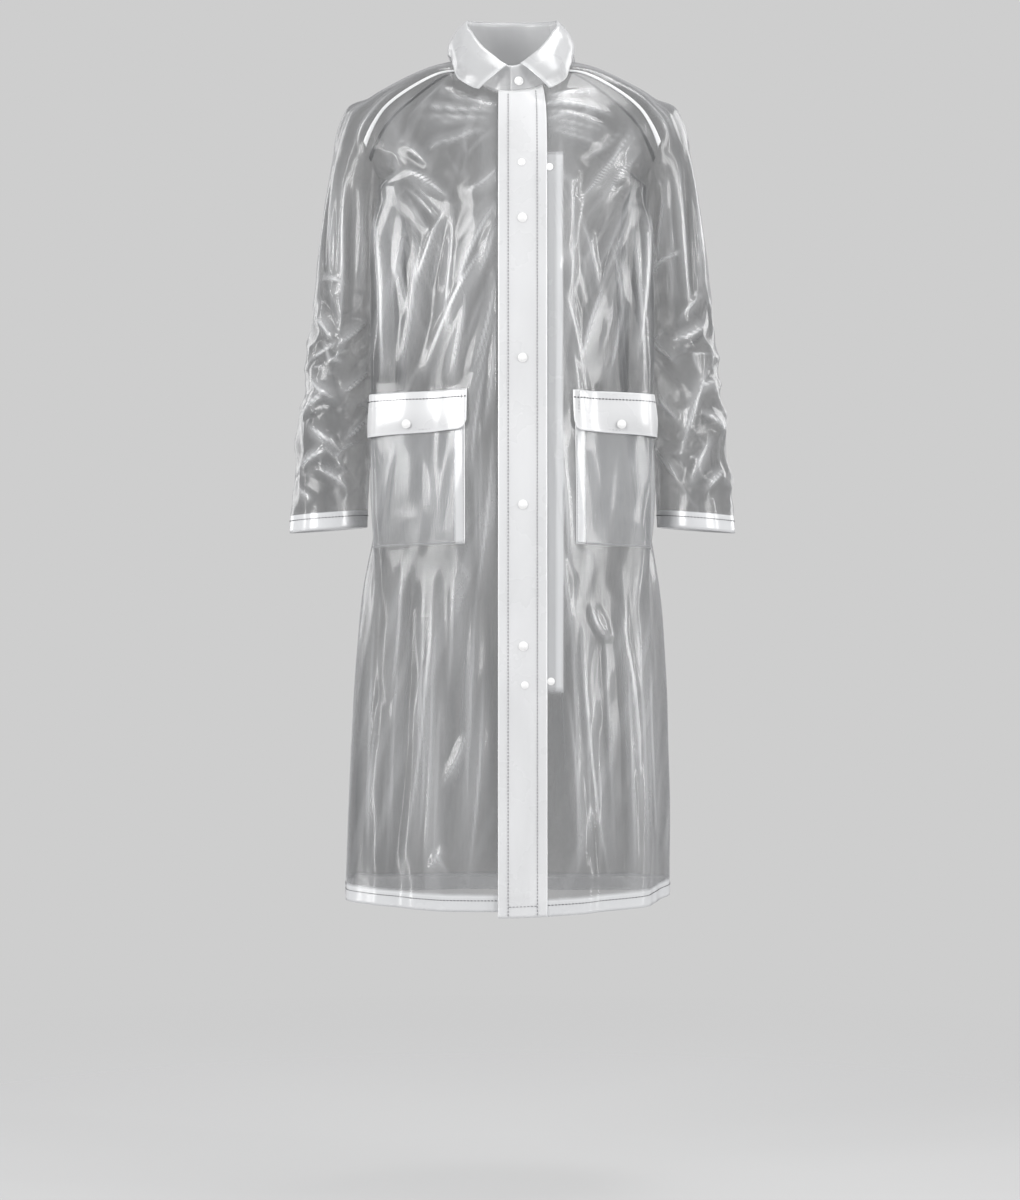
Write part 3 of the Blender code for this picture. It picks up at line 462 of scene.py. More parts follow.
# %% Folds of the back
# the same columns as in FRONT_FOLDS
BACK_FOLDS = (
    (-0.150, 0.130, -0.060, 0.060, 0.014, 0.0045, 0.006),
    (0.158, 0.140, 0.052, 0.072, -0.015, 0.0050, -0.008),
    (-0.164, 0.175, -0.110, 0.300, 0.014, 0.0060, 0.008),
    (-0.170, 0.205, -0.136, 0.420, -0.013, 0.0050, -0.006),
    (0.168, 0.170, 0.120, 0.320, -0.015, 0.0060, -0.008),
    (0.174, 0.215, 0.142, 0.400, 0.012, 0.0050, 0.006),
    (-0.090, 0.160, -0.064, 0.400, 0.016, 0.0050, 0.006),
    (0.094, 0.190, 0.070, 0.430, -0.017, 0.0050, 0.007),
    (0.010, 0.100, -0.018, 0.360, 0.018, 0.0045, 0.008),
    (-0.040, 0.260, -0.052, 0.520, 0.014, -0.0040, 0.006),
    (0.036, 0.300, 0.050, 0.560, -0.015, 0.0050, 0.008),
    (-0.120, 0.420, -0.104, 0.700, 0.016, 0.0055, 0.008),
    (0.120, 0.460, 0.112, 0.690, -0.015, 0.0050, -0.007),
    (-0.010, 0.480, 0.006, 0.820, 0.018, 0.0050, 0.008),
    (-0.150, 0.640, -0.164, 1.020, -0.018, 0.0055, 0.010),
    (0.156, 0.660, 0.172, 1.060, 0.018, 0.0055, -0.008),
    (-0.070, 0.700, -0.090, 1.110, 0.019, 0.0055, 0.010),
    (0.072, 0.740, 0.094, 1.120, -0.020, 0.0050, -0.010),
    (0.014, 0.800, 0.030, 1.126, 0.018, -0.0045, 0.006),
    (-0.026, 0.860, -0.020, 1.120, -0.016, 0.0045, 0.006),
    (-0.120, 0.900, -0.132, 1.126, 0.014, -0.0040, 0.004),
    (0.128, 0.940, 0.136, 1.124, 0.014, 0.0045, -0.004),
)
BACK_FANS = (
    *fan(((-0.160, 0.140), (-0.166, 0.260)), ((-0.060, 0.260), (-0.130, 0.470)), 5, 0.011, 0.0034, 11),
    *fan(((0.162, 0.140), (0.166, 0.260)), ((0.064, 0.270), (0.130, 0.480)), 5, 0.011, 0.0034, 12),
    *fan(((-0.150, 0.480), (0.150, 0.470)), ((-0.170, 0.760), (0.170, 0.780)), 9, 0.011, 0.0034, 13),
    *fan(((-0.190, 0.740), (0.190, 0.740)), ((-0.208, 1.130), (0.206, 1.130)), 14, 0.012, 0.0038, 14),
)
print("folds laid on the back:", len(BACK_FOLDS) + len(BACK_FANS))

# %% [markdown]
# A sleeve folds where the arm bends. Above the elbow long streaks run down from the shoulder, and
# from the elbow to the cuff the film buckles into diamonds, because the spare length has nowhere
# to go. The places are the angle round the arm (0 outside, 90 in front, 180 inside, negative
# behind) and the level below the neck.

# %% Folds of the sleeves
# angle and level of the start, angle and level of the end, flank, depth, bow
SLEEVE_FOLDS = {
    "right": (
        (30, 0.120, 62, 0.330, 0.012, 0.0050, 0.004),
        (58, 0.150, 84, 0.400, -0.012, 0.0055, 0.006),
        (96, 0.170, 104, 0.350, 0.010, 0.0045, 0.003),
        (120, 0.200, 132, 0.420, -0.011, 0.0040, 0.004),
        (150, 0.230, 140, 0.430, 0.010, 0.0045, 0.003),
        (40, 0.300, 92, 0.316, 0.010, 0.0055, 0.006),
        (26, 0.345, 80, 0.392, 0.012, 0.0060, 0.004),
        (128, 0.352, 78, 0.398, -0.012, 0.0060, 0.003),
        (30, 0.412, 86, 0.386, -0.010, -0.0050, 0.003),
        (34, 0.425, 96, 0.470, 0.012, 0.0065, -0.005),
        (140, 0.420, 92, 0.462, -0.011, 0.0060, 0.004),
        (26, 0.492, 84, 0.456, 0.011, 0.0050, 0.003),
        (48, 0.500, 110, 0.545, -0.012, 0.0060, 0.004),
        (148, 0.492, 104, 0.528, 0.011, 0.0050, -0.003),
        (36, 0.566, 92, 0.534, 0.011, 0.0050, 0.004),
        (70, 0.560, 126, 0.596, 0.010, 0.0045, 0.003),
        (30, 0.585, 70, 0.606, -0.009, 0.0035, 0.002),
        (-20, 0.130, -60, 0.340, 0.013, 0.0050, 0.004),
        (-70, 0.160, -96, 0.380, -0.012, 0.0050, 0.005),
        (-130, 0.220, -120, 0.400, 0.011, 0.0045, 0.003),
        (-24, 0.360, -92, 0.400, 0.012, 0.0060, 0.005),
        (-150, 0.380, -96, 0.424, -0.012, 0.0055, 0.004),
        (-30, 0.445, -104, 0.480, -0.012, 0.0060, 0.004),
        (-150, 0.470, -100, 0.512, 0.011, 0.0050, 0.003),
        (-36, 0.530, -110, 0.560, 0.011, 0.0050, 0.004),
    ),
    "left": (
        (24, 0.110, 48, 0.340, -0.012, 0.0050, 0.004),
        (60, 0.130, 70, 0.360, 0.012, 0.0055, 0.005),
        (88, 0.160, 118, 0.330, -0.011, 0.0050, 0.004),
        (126, 0.180, 138, 0.390, 0.010, 0.0045, 0.003),
        (66, 0.262, 136, 0.318, 0.012, 0.0060, 0.012),
        (40, 0.318, 96, 0.366, -0.012, 0.0050, 0.005),
        (30, 0.352, 122, 0.392, 0.012, 0.0055, -0.006),
        (146, 0.366, 96, 0.420, -0.011, 0.0055, 0.004),
        (44, 0.402, 112, 0.560, 0.013, 0.0060, 0.006),
        (28, 0.440, 84, 0.456, -0.011, 0.0055, 0.004),
        (140, 0.448, 100, 0.500, 0.011, 0.0055, 0.004),
        (30, 0.512, 78, 0.484, 0.010, 0.0050, 0.003),
        (58, 0.512, 100, 0.590, -0.012, 0.0055, 0.004),
        (148, 0.530, 112, 0.580, -0.010, 0.0045, 0.003),
        (34, 0.560, 80, 0.596, 0.010, 0.0045, 0.003),
        (-24, 0.120, -52, 0.330, -0.013, 0.0050, 0.004),
        (-76, 0.150, -90, 0.390, 0.012, 0.0050, 0.005),
        (-134, 0.230, -118, 0.410, -0.011, 0.0045, 0.003),
        (-28, 0.350, -100, 0.392, -0.012, 0.0060, 0.005),
        (-146, 0.390, -90, 0.440, 0.012, 0.0055, 0.004),
        (-34, 0.460, -96, 0.492, 0.012, 0.0060, 0.004),
        (-148, 0.490, -104, 0.530, -0.011, 0.0050, 0.003),
        (-30, 0.548, -96, 0.580, -0.011, 0.0045, 0.004),
    ),
}
print("folds on the sleeves:", {side: len(rows) for side, rows in SLEEVE_FOLDS.items()})

# %% [markdown]
# ## Fine sheets
# Every cut piece is a grid of points about 4 mm apart, with an outward direction at each. Where
# the grids of one piece share a seam they share that direction too, so the light runs over the
# seam. The sheet itself is a shell 0.4 mm thick, so its edges are real edges.

# %% Grids and their outward directions
THICK = 0.0004
MERGE = 2e4  # points nearer than 1 / MERGE are one point


def unit(vectors):
    """The same directions, 1 long."""
    return vectors / np.maximum(np.linalg.norm(vectors, axis=-1, keepdims=True), 1e-12)


def quads(rows, columns):
    """The four corners of every cell of a grid, turned so that the cell faces out."""
    index = np.arange(rows * columns).reshape(rows, columns)
    corners = (index[:-1, :-1], index[1:, :-1], index[1:, 1:], index[:-1, 1:])
    return np.stack([corner.ravel() for corner in corners], axis=1)


def outward(grids):
    """Outward directions for grids, the same wherever their points coincide."""
    flat = np.concatenate([grid.reshape(-1, 3) for grid in grids])
    spots, index = np.unique(np.round(flat * MERGE).astype(int), axis=0, return_inverse=True)
    index = index.reshape(-1)
    total = np.zeros((len(spots), 3))
    sizes = [grid.shape[0] * grid.shape[1] for grid in grids]
    start = 0
    for grid, size in zip(grids, sizes):
        faces = quads(*grid.shape[:2])
        a, b, c, d = grid.reshape(-1, 3)[faces].transpose(1, 0, 2)
        for corner in range(4):
            np.add.at(total, index[faces[:, corner] + start], np.cross(c - a, d - b))
        start += size
    parts = np.split(unit(total)[index], np.cumsum(sizes)[:-1])
    return [part.reshape(grid.shape) for part, grid in zip(parts, grids)]


def layer_area(grids):
    """The area of one layer of the sheet."""
    total = 0.0
    for grid in grids:
        a, b, c, d = grid.reshape(-1, 3)[quads(*grid.shape[:2])].transpose(1, 0, 2)
        total += np.linalg.norm(np.cross(c - a, d - b), axis=1).sum() / 2
    return total


print("shell thickness:", THICK * 1000, "mm")

# %% [markdown]
# The cut is measured on the grid itself: its longest row, its longest column, and the area of one
# layer.

# %% Make a sheet
pieces = {}


def add_piece(name, points, faces, material, nodes, white_and_highlight=None):
    """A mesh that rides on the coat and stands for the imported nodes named."""
    mesh = bpy.data.meshes.new(name)
    mesh.from_pydata(points.tolist(), [], [tuple(face) for face in faces])
    mesh.shade_smooth()
    mesh.materials.append(material)
    # the mark: white of doubled and folded film, and painted highlights along folds
    if white_and_highlight is not None:
        mesh.attributes.new("white_and_highlight", "FLOAT", "POINT").data.foreach_set("value", white_and_highlight)
    piece = bpy.data.objects.new(name, mesh)
    bpy.context.scene.collection.objects.link(piece)
    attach(piece, "root")
    if nodes:
        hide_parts(*nodes)
    pieces[name] = len(faces)
    return piece


def add_sheet(name, grids, material, nodes=(), lift=0.0, white_and_highlight=None, weld=False):
    """A thin closed shell on a sheet made of grids, 'lift' outside them. A weld is no cut piece."""
    sizes = [grid.shape[0] * grid.shape[1] for grid in grids]
    flat = np.concatenate([grid.reshape(-1, 3) for grid in grids])
    out = np.concatenate([direction.reshape(-1, 3) for direction in outward(grids)])
    marks = np.zeros(len(flat)) if white_and_highlight is None else np.concatenate([c.ravel() for c in white_and_highlight])
    start = np.cumsum([0, *sizes])
    faces = np.concatenate([quads(*g.shape[:2]) + at for g, at in zip(grids, start)])
    _, first, index = np.unique(
        np.round(flat * MERGE).astype(int), axis=0, return_index=True, return_inverse=True
    )
    faces = index.reshape(-1)[faces]
    middle, out, marks = flat[first] + out[first] * lift, out[first], marks[first]
    count = len(first)
    edges = np.concatenate([np.stack([faces[:, k], faces[:, (k + 1) % 4]], 1) for k in range(4)])
    keys = edges[:, 0] * count + edges[:, 1]
    rim = edges[~np.isin(keys, edges[:, 1] * count + edges[:, 0])]
    wall = np.stack([rim[:, 1], rim[:, 0], rim[:, 0] + count, rim[:, 1] + count], 1)
    points = np.concatenate([middle + out * THICK / 2, middle - out * THICK / 2])
    every = np.concatenate([faces, faces[:, ::-1] + count, wall])
    both = np.concatenate([marks, marks])
    piece = add_piece(name, points, every.tolist(), material, nodes, both)
    if weld:
        print(f"{name}: {len(every)} faces")
        return piece
    width = max(np.linalg.norm(np.diff(g, axis=1), axis=2).sum(1).max() for g in grids)
    length = sum(np.linalg.norm(np.diff(g, axis=0), axis=2).sum(0).max() for g in grids)
    area = min(layer_area(grids), width * length)
    print(f"{name}: cut {width:.3f} x {length:.3f} m, {area:.4f} m2, {len(every)} faces")
    return piece


# %% [markdown]
# ## The film
# Plasticised film is glossy, slightly frosted and never quite even. Seen flat on, it lets most of
# the light through. Seen along its surface it turns white. A mark on the sheet whitens it too: the
# white of doubled and folded film, and painted highlights along the folds. So its see-through amount
# comes from how far it faces away, from cloudy mottling and from those marks, and a fine bump makes
# its highlights ripple. Two films together are the same recipe, whiter.

# %% Film materials
MARK_SOLID = 0.42  # how much more solid a full mark makes the film: doubled film, or a painted highlight
MOST_SOLID = 0.97  # no film is more solid than this
# the white that marks mix towards: doubled and folded film, and painted highlights
WHITENED = (0.95, 0.96, 0.97, 1)


def node_material(name):
    """A new material, with its nodes, its links and its shader."""
    material = bpy.data.materials.new(name)
    material.use_nodes = True
    nodes = material.node_tree.nodes
    return material, nodes, material.node_tree.links, nodes["Principled BSDF"]


def add_range(nodes, links, value, *limits):
    """A value spread from one range, the first two limits, to another, the last two."""
    spread = nodes.new("ShaderNodeMapRange")
    for key, number in zip(("From Min", "From Max", "To Min", "To Max"), limits):
        spread.inputs[key].default_value = number
    links.new(value, spread.inputs["Value"])
    return spread.outputs["Result"]


def film(name, colour, clear, edge, gloss, ripple):
    """Soft see-through film. 'clear' is how solid one face looks flat on, and 'edge' how much more
    solid it gets when it faces away. 'gloss' is its roughness, 'ripple' the strength of its bump."""
    material, nodes, links, shader = node_material(name)
    shader.inputs["IOR"].default_value = 1.53
    shader.inputs["Specular IOR Level"].default_value = 0.75
    shader.inputs["Coat Weight"].default_value = 0.7
    shader.inputs["Coat Roughness"].default_value = gloss * 0.55
    place = nodes.new("ShaderNodeTexCoord")

    def noise(scale, detail, stretch=(1, 1, 1)):
        mapping = nodes.new("ShaderNodeMapping")
        mapping.inputs["Scale"].default_value = stretch
        links.new(place.outputs["Object"], mapping.inputs["Vector"])
        cloud = nodes.new("ShaderNodeTexNoise")
        cloud.inputs["Scale"].default_value = scale
        cloud.inputs["Detail"].default_value = detail
        links.new(mapping.outputs["Vector"], cloud.inputs["Vector"])
        return cloud.outputs["Fac"]

    def combine(operation, first, second):
        node = nodes.new("ShaderNodeMath")
        node.operation = operation
        for socket, value in zip(node.inputs, (first, second)):
            if isinstance(value, (int, float)):
                socket.default_value = value
            else:
                links.new(value, socket)
        return node.outputs["Value"]

    mottle = noise(7.0, 2.5, (1, 1, 0.4))
    weight = nodes.new("ShaderNodeLayerWeight")
    weight.inputs["Blend"].default_value = 0.35
    facing = combine("POWER", weight.outputs["Facing"], 2.6)
    # the mark: doubled-film white and painted highlights along the folds
    mark = nodes.new("ShaderNodeAttribute")
    mark.attribute_name = "white_and_highlight"
    solid = add_range(nodes, links, mottle, 0.3, 0.7, clear * 0.72, clear * 1.28)
    solid = combine("ADD", solid, combine("MULTIPLY", facing, edge))
    solid = combine("ADD", solid, combine("MULTIPLY", mark.outputs["Fac"], MARK_SOLID))
    links.new(combine("MINIMUM", solid, MOST_SOLID), shader.inputs["Alpha"])

    tint = nodes.new("ShaderNodeMix")
    tint.data_type = "RGBA"
    tint.inputs["A"].default_value = (*colour, 1)
    tint.inputs["B"].default_value = WHITENED
    # whitened by the mark (doubled film and painted highlights) and by facing away
    whiten = combine("MAXIMUM", mark.outputs["Fac"], combine("MULTIPLY", facing, 0.8))
    links.new(whiten, tint.inputs["Factor"])
    links.new(tint.outputs["Result"], shader.inputs["Base Color"])
    rough = add_range(nodes, links, noise(22.0, 3.0), 0.3, 0.7, gloss * 0.75, gloss * 1.35)
    links.new(rough, shader.inputs["Roughness"])

    fine = nodes.new("ShaderNodeBump")
    fine.inputs["Strength"].default_value = ripple
    fine.inputs["Distance"].default_value = 0.004
    links.new(noise(26.0, 1.5, (1, 1, 0.15)), fine.inputs["Height"])
    links.new(fine.outputs["Normal"], shader.inputs["Normal"])
    links.new(fine.outputs["Normal"], shader.inputs["Coat Normal"])
    return material


single = film("single_film", (0.085, 0.088, 0.091), 0.25, 0.40, 0.22, 0.02)
pouch = film("pocket_film", (0.52, 0.53, 0.54), 0.20, 0.42, 0.22, 0.06)
welded = film("welded_film", (0.90, 0.91, 0.92), 0.46, 0.40, 0.24, 0.06)
double = film("doubled_film", (0.95, 0.955, 0.96), 0.62, 0.35, 0.28, 0.08)
turned = film("turned_film", (0.90, 0.905, 0.91), 0.78, 0.20, 0.28, 0.06)
flaps = film("flap_film", (0.80, 0.805, 0.81), 0.76, 0.22, 0.28, 0.08)
collar = film("collar_film", (0.70, 0.705, 0.71), 0.44, 0.30, 0.28, 0.08)
films = (single, pouch, welded, double, turned, flaps, collar)
print("film materials:", ", ".join(made.name for made in films))

# %% [markdown]
# ## The fronts and the back
# Each is cut in one from the neck to the hem. A row of points runs across it at every level, from
# its free edge to its seam. The folds fade out at the seams, where the weld holds the film still,
# and on the placket, where four films are stitched together.

# %% Grid of a front or back
ROW_SPACING = (0.0035, 0.0035, 0.0035, 0.0060, 0.0050)  # between rows, from the neck to the hem
SEAM_FADE = 0.022  # a fold has its full height this far from a seam


def body_rows(cloth, start, end, columns):
    """The levels of a panel, its grid, and each point's distance from the middle. 'start' and 'end'
    are distances, or None for the seam on that side."""
    stops = (NECK_DOWN, YOKE_DOWN, ARMPIT_DOWN, POCKET_TOP, HEM_DOWN - HEM_TURN, HEM_DOWN)
    downs = np.unique(np.concatenate([
        np.linspace(low, high, 1 + math.ceil((high - low) / step))
        for low, high, step in zip(stops, stops[1:], ROW_SPACING)
    ]))
    grid, places = [], []
    for down in downs:
        points = np.concatenate([half_row(down, -1, cloth)[::-1], half_row(down, 1, cloth)[1:]])
        run = np.concatenate([[0], np.cumsum(np.linalg.norm(np.diff(points, axis=0), axis=1))])
        run = run - run[HALF_SAMPLES - 1]
        first, last = run[0] if start is None else start, run[-1] if end is None else end
        wanted = np.linspace(first, last, columns)
        row = np.stack([np.interp(wanted, run, points[:, k]) for k in range(3)], -1)
        if start == PLACKET_EDGE:
            row[:, 2] -= LEFT_DROP * near_hem(down) * (1 - np.clip(row[:, 0] / row[-1, 0], 0, 1))
        grid.append(row)
        places.append(wanted)
    return downs, np.array(grid), np.array(places)


def soften(downs, places, seams):
    """How much of a fold is left at each point: none at the neck and at the seam columns given."""
    left = ramp((downs - NECK_DOWN) / 0.03)[:, None] * np.ones(places.shape)
    for column in seams:
        left = left * ramp(np.abs(places - places[:, [column]]) / SEAM_FADE)
    return left


print("fine rows:", len(body_rows("back", None, None, 3)[0]))

# %% Lay the folds on the fronts and back
FRONT_COLUMNS, BACK_COLUMNS = 128, 190
BACKED = 0.9  # how white a film is that has another one behind it


def panel(cloth, start, end, columns, seams, folds, seed):
    """A finished fine panel: levels, places, points, and its marks of painted highlight along folds
    and swells. It is whitened where the turned hem or the storm flap backs it."""
    downs, grid, places = body_rows(cloth, start, end, columns)
    if cloth == "back":
        grid, places = grid[:, ::-1], places[:, ::-1]
    out = outward([grid])[0]
    x, down = grid[..., 0], -grid[..., 2]
    height, white_and_highlight = lay_folds(x, down, folds)
    _, borders = crumple(places, down, 0.046, 2.8, seed)
    upper = 1 - 0.6 * ramp((down - 0.62) / 0.25)
    swell = waves(places, down, 0.080, 0.62, seed)
    slant = waves(places + 0.35 * down, down, 0.046, 0.45, seed + 2)
    height = height + 0.0016 * swell + 0.0004 * slant
    # painted sheen on the crests of the swells; then painted highlights along the ridges between facets,
    # weaker on the skirt
    swell_sheen = 0.22 * ramp((swell - 0.15) / 0.7) + 0.14 * ramp((slant - 0.25) / 0.5)
    white_and_highlight = np.maximum(white_and_highlight, upper * 0.22 * borders) + (1 - white_and_highlight) * swell_sheen
    # on the back the painted highlights are weaker
    if cloth == "back":
        white_and_highlight = 0.75 * white_and_highlight
    left = soften(downs, places, seams)
    if cloth == "front":
        stiff = ramp((places - PLACKET_EDGE + 0.004) / 0.004)
        stiff = stiff * ramp((PLACKET_INNER + 0.006 - places) / 0.008)
        left = left * (1 - 0.72 * stiff)
    hem = ramp((HEM_DOWN - downs) / 0.05)[:, None]
    left = left * (0.45 + 0.55 * hem)
    backed = (downs > HEM_DOWN - HEM_TURN - 0.001)[:, None] * np.ones(places.shape)
    if start == PLACKET_EDGE:
        beside = np.minimum(downs - STORM_TOP, STORM_BOTTOM - downs)
        strip = ramp(beside / 0.004)[:, None] * ramp(0.5 + (STORM_EDGE - places) / 0.005)
        own_edge = 0.72 + 0.23 * ramp((places - STORM_EDGE + 0.012) / 0.004)
        backed = np.maximum(backed, own_edge * strip)
    sunk = np.zeros(places.shape)
    if end == UNDER_EDGE:
        sunk = -UNDERLAP * ramp((places - UNDER_FLUSH) / (UNDER_STEP - UNDER_FLUSH))
    return {
        "downs": downs, "places": places, "points": grid + out * (height * left + sunk)[..., None],
        "white_and_highlight": np.maximum(white_and_highlight * np.clip(left * 1.5, 0, 1), BACKED * backed),
    }


front_folds, back_folds = FRONT_FOLDS + FRONT_FANS, BACK_FOLDS + BACK_FANS
front_right = panel("front", None, UNDER_EDGE, FRONT_COLUMNS, (0,), front_folds, 1)
front_left = panel("front", PLACKET_EDGE, None, FRONT_COLUMNS, (-1,), front_folds, 1)
back = panel("back", None, None, BACK_COLUMNS, (0, -1), back_folds, 5)
panels = {"front_right": front_right, "front_left": front_left, "back": back}
for name, made in panels.items():
    add_sheet(f"{name}_film", [made["points"]], single, [name], white_and_highlight=[made["white_and_highlight"]])

# %% [markdown]
# ## Sleeves
# The sleeve is two grids that share a row at the armhole: the open yoke over the shoulder, and the
# tube of the arm. The crumples are deepest between elbow and cuff.

# %% Sleeves
ARC = 0.00105  # metres round an arm for each degree
ELBOW_DEEPER = 1.4  # folds that start below the elbow are this much deeper
ELBOW_DOWN = 0.34


def sleeve_grids(side):
    """The fine yoke and tube of a sleeve, and the ring and angle of every point."""
    start = float(seam_angle(ARMHOLE_RING))
    across = np.linspace(1, -1, 71)
    under = np.linspace(180, start, 33)[:-1]
    around = np.concatenate([under, across * start, -under[::-1]])
    yoke_rings = np.linspace(0, ARMHOLE_RING, 52)
    rings = np.unique(np.concatenate([np.linspace(ARMHOLE_RING, LAST_RING, 160), [CUFF_RING]]))
    yoke_angles = seam_angle(yoke_rings)[:, None] * across
    angles = np.broadcast_to(around, (len(rings), len(around)))
    all_angles = [yoke_angles, angles]
    all_rings = [
        ring[:, None] * np.ones(angle.shape) for ring, angle in zip((yoke_rings, rings), all_angles)
    ]
    grids = [sleeve_points(ring, angle, side) for ring, angle in zip(all_rings, all_angles)]
    return grids, all_rings, all_angles


def folded_sleeve(side):
    """A finished fine sleeve: points, painted highlights, rings and angles of its yoke and of its tube.
    """
    grids, rings, angles = sleeve_grids(side)
    if side < 0:
        grids, rings, angles = ([g[:, ::-1] for g in group] for group in (grids, rings, angles))
    out = outward(grids)
    made = {"points": [], "white_and_highlight": [], "rings": rings, "angles": angles}
    seed = 11 if side > 0 else 17
    hung = SLEEVE_FOLDS["left" if side > 0 else "right"]
    hung += fan(((8, 0.120), (150, 0.210)), ((30, 0.345), (162, 0.400)), 6, 0.010, 0.0034, seed)
    hung += fan(((-12, 0.120), (-150, 0.210)), ((-30, 0.345), (-162, 0.400)), 6, 0.010, 0.0034, seed + 1)
    hung += fan(((-56, 0.012), (74, 0.030)), ((-44, 0.118), (80, 0.126)), 7, 0.008, 0.0034, seed + 3)
    rows = []
    for turn, down, turn_end, low, flank, depth, bow in hung:
        deeper = ELBOW_DEEPER if down > ELBOW_DOWN else 1
        rows.append((turn * ARC, down, turn_end * ARC, low, flank, depth * deeper, bow))
    for grid, ring, angle, direction in zip(grids, rings, angles, out):
        around, down = angle * ARC, -grid[..., 2]
        height, white_and_highlight = lay_folds(around, down, rows)
        arm = ramp((down - 0.26) / 0.10) * (1 - 0.7 * ramp((down - 0.585) / 0.03))
        slant, other = 0.66 * around + 0.92 * down, 0.66 * around - 0.92 * down
        facets, borders = crumple(slant, other, 0.042, 1.1, seed)
        swell = waves(around, down, 0.070, 0.34, seed)
        height = height + (0.0006 + 0.0070 * arm) * facets + 0.0020 * swell
        # painted sheen on the swells' crests, and painted highlights along facet ridges, strongest from
        # the elbow down
        swell_sheen = 0.22 * ramp(swell - 0.1)
        white_and_highlight = np.maximum(white_and_highlight, (0.10 + 0.45 * arm) * borders) + (1 - white_and_highlight) * swell_sheen
        # the painted highlights are weaker behind the arm
        white_and_highlight = np.where(angle < -8, 0.6, 1.0) * white_and_highlight
        left = ramp(ring / 0.35) * (1 - 0.6 * ramp((ring - 13.4) / 0.3))
        open_edge = np.where(ring <= ARMHOLE_RING, seam_angle(ring) - np.abs(angle), 90.0)
        left = left * ramp(open_edge / 16) * ramp((180.5 - np.abs(angle)) / 13)
        below = np.maximum(ramp((ring - ARMHOLE_RING) / 0.9), ramp((92 - np.abs(angle)) / 16))
        left = left * np.where(ring >= ARMHOLE_RING, below, 1)
        made["points"].append(grid + direction * (height * left)[..., None])
        backed = BACKED * (ring >= CUFF_RING - 0.001)
        made["white_and_highlight"].append(np.maximum(white_and_highlight * np.clip(left * 1.5, 0, 1), backed))
    return made


sleeves = {"left": folded_sleeve(1), "right": folded_sleeve(-1)}
for name, made in sleeves.items():
    add_sheet(
        f"sleeve_{name}_film", made["points"], single, [f"sleeve_{name}"], white_and_highlight=made["white_and_highlight"]
    )

# %% [markdown]
# ## Places on a finished panel
# Everything else is laid on the folded film, so it follows the folds. A place is given as the
# distance from the middle and the level, and is read between the panel's own points.

# %% Read a place on a panel
def on_panel(made, across, down):
    """Points and outward directions of a panel at the places given."""
    across, down = np.broadcast_arrays(np.asarray(across, float), np.asarray(down, float))
    if "out" not in made:
        made["out"] = outward([made["points"]])[0]
    downs, places = made["downs"], made["places"]
    row = np.clip(np.interp(down, downs, np.arange(len(downs))), 0, len(downs) - 1.0001)
    low = np.floor(row).astype(int)
    part = row - low
    start = places[low, 0] * (1 - part) + places[low + 1, 0] * part
    end = places[low, -1] * (1 - part) + places[low + 1, -1] * part
    column = np.clip((across - start) / (end - start), 0, 1) * (places.shape[1] - 1.0001)
    left = np.floor(column).astype(int)
    side = (column - left)[..., None]
    part = part[..., None]
    found = []
    for grid in (made["points"], made["out"]):
        above = grid[low, left] * (1 - side) + grid[low, left + 1] * side
        below = grid[low + 1, left] * (1 - side) + grid[low + 1, left + 1] * side
        found.append(above * (1 - part) + below * part)
    return found[0], unit(found[1])


def lay(name, made, across, down, lift, material, nodes, white_and_highlight=None):
    """A sheet that lies 'lift' outside a panel, over the places given."""
    points, out = on_panel(made, across, down)
    lift = np.broadcast_to(lift, points.shape[:2])
    return add_sheet(
        name, [points + out * lift[..., None]], material, nodes,
        white_and_highlight=None if white_and_highlight is None else [white_and_highlight],
    )


middle, _ = on_panel(front_left, 0.014, 0.6)
print("placket's middle at 0.6 m down:", middle.round(3))

# %% [markdown]
# ## Placket, storm flap, hem and cuffs
# The placket is a doubled band down the edge of the left front. Behind it the right front carries
# an inner strip that keeps the rain out, seen through the film. The hem and the cuffs are turned in
# once. All of them read white, and their folded edges a little whiter.

# %% Placket and storm flap
LAYER = 0.0010  # the placket lies this far outside the front
TURNED_IN = 0.0008  # a turned hem or cuff lies this far inside its film
EDGE_LINE = 0.0022


def edge_lines(across, *edges):
    """White lines along the long edges of a band."""
    return 0.8 * np.max([bump((across - edge) / EDGE_LINE) for edge in edges], axis=0)


downs = np.linspace(NECK_DOWN, HEM_DOWN, 250)[:, None]
across = np.linspace(PLACKET_EDGE, PLACKET_INNER, 34)[None, :] * np.ones(downs.shape)
ripple = np.sin(downs * 41) * np.sin(downs * 17 + across * 60)
puff = 0.0008 * bump((across - 0.014) / 0.026) + 0.0003 * ripple
lay("placket_film", front_left, across, downs, LAYER + puff, double, ["placket"],
    edge_lines(across, PLACKET_EDGE, PLACKET_INNER))

downs = np.linspace(STORM_TOP, STORM_BOTTOM, 160)[:, None]
across = np.linspace(UNDER_EDGE + 0.0015, STORM_EDGE, 16)[None, :] * np.ones(downs.shape)
lay("storm_flap_film", front_left, across, downs, -0.0022, turned, ["storm_flap"],
    np.maximum(0.9 * ramp((across - STORM_EDGE + 0.011) / 0.001), edge_lines(across, STORM_EDGE)))

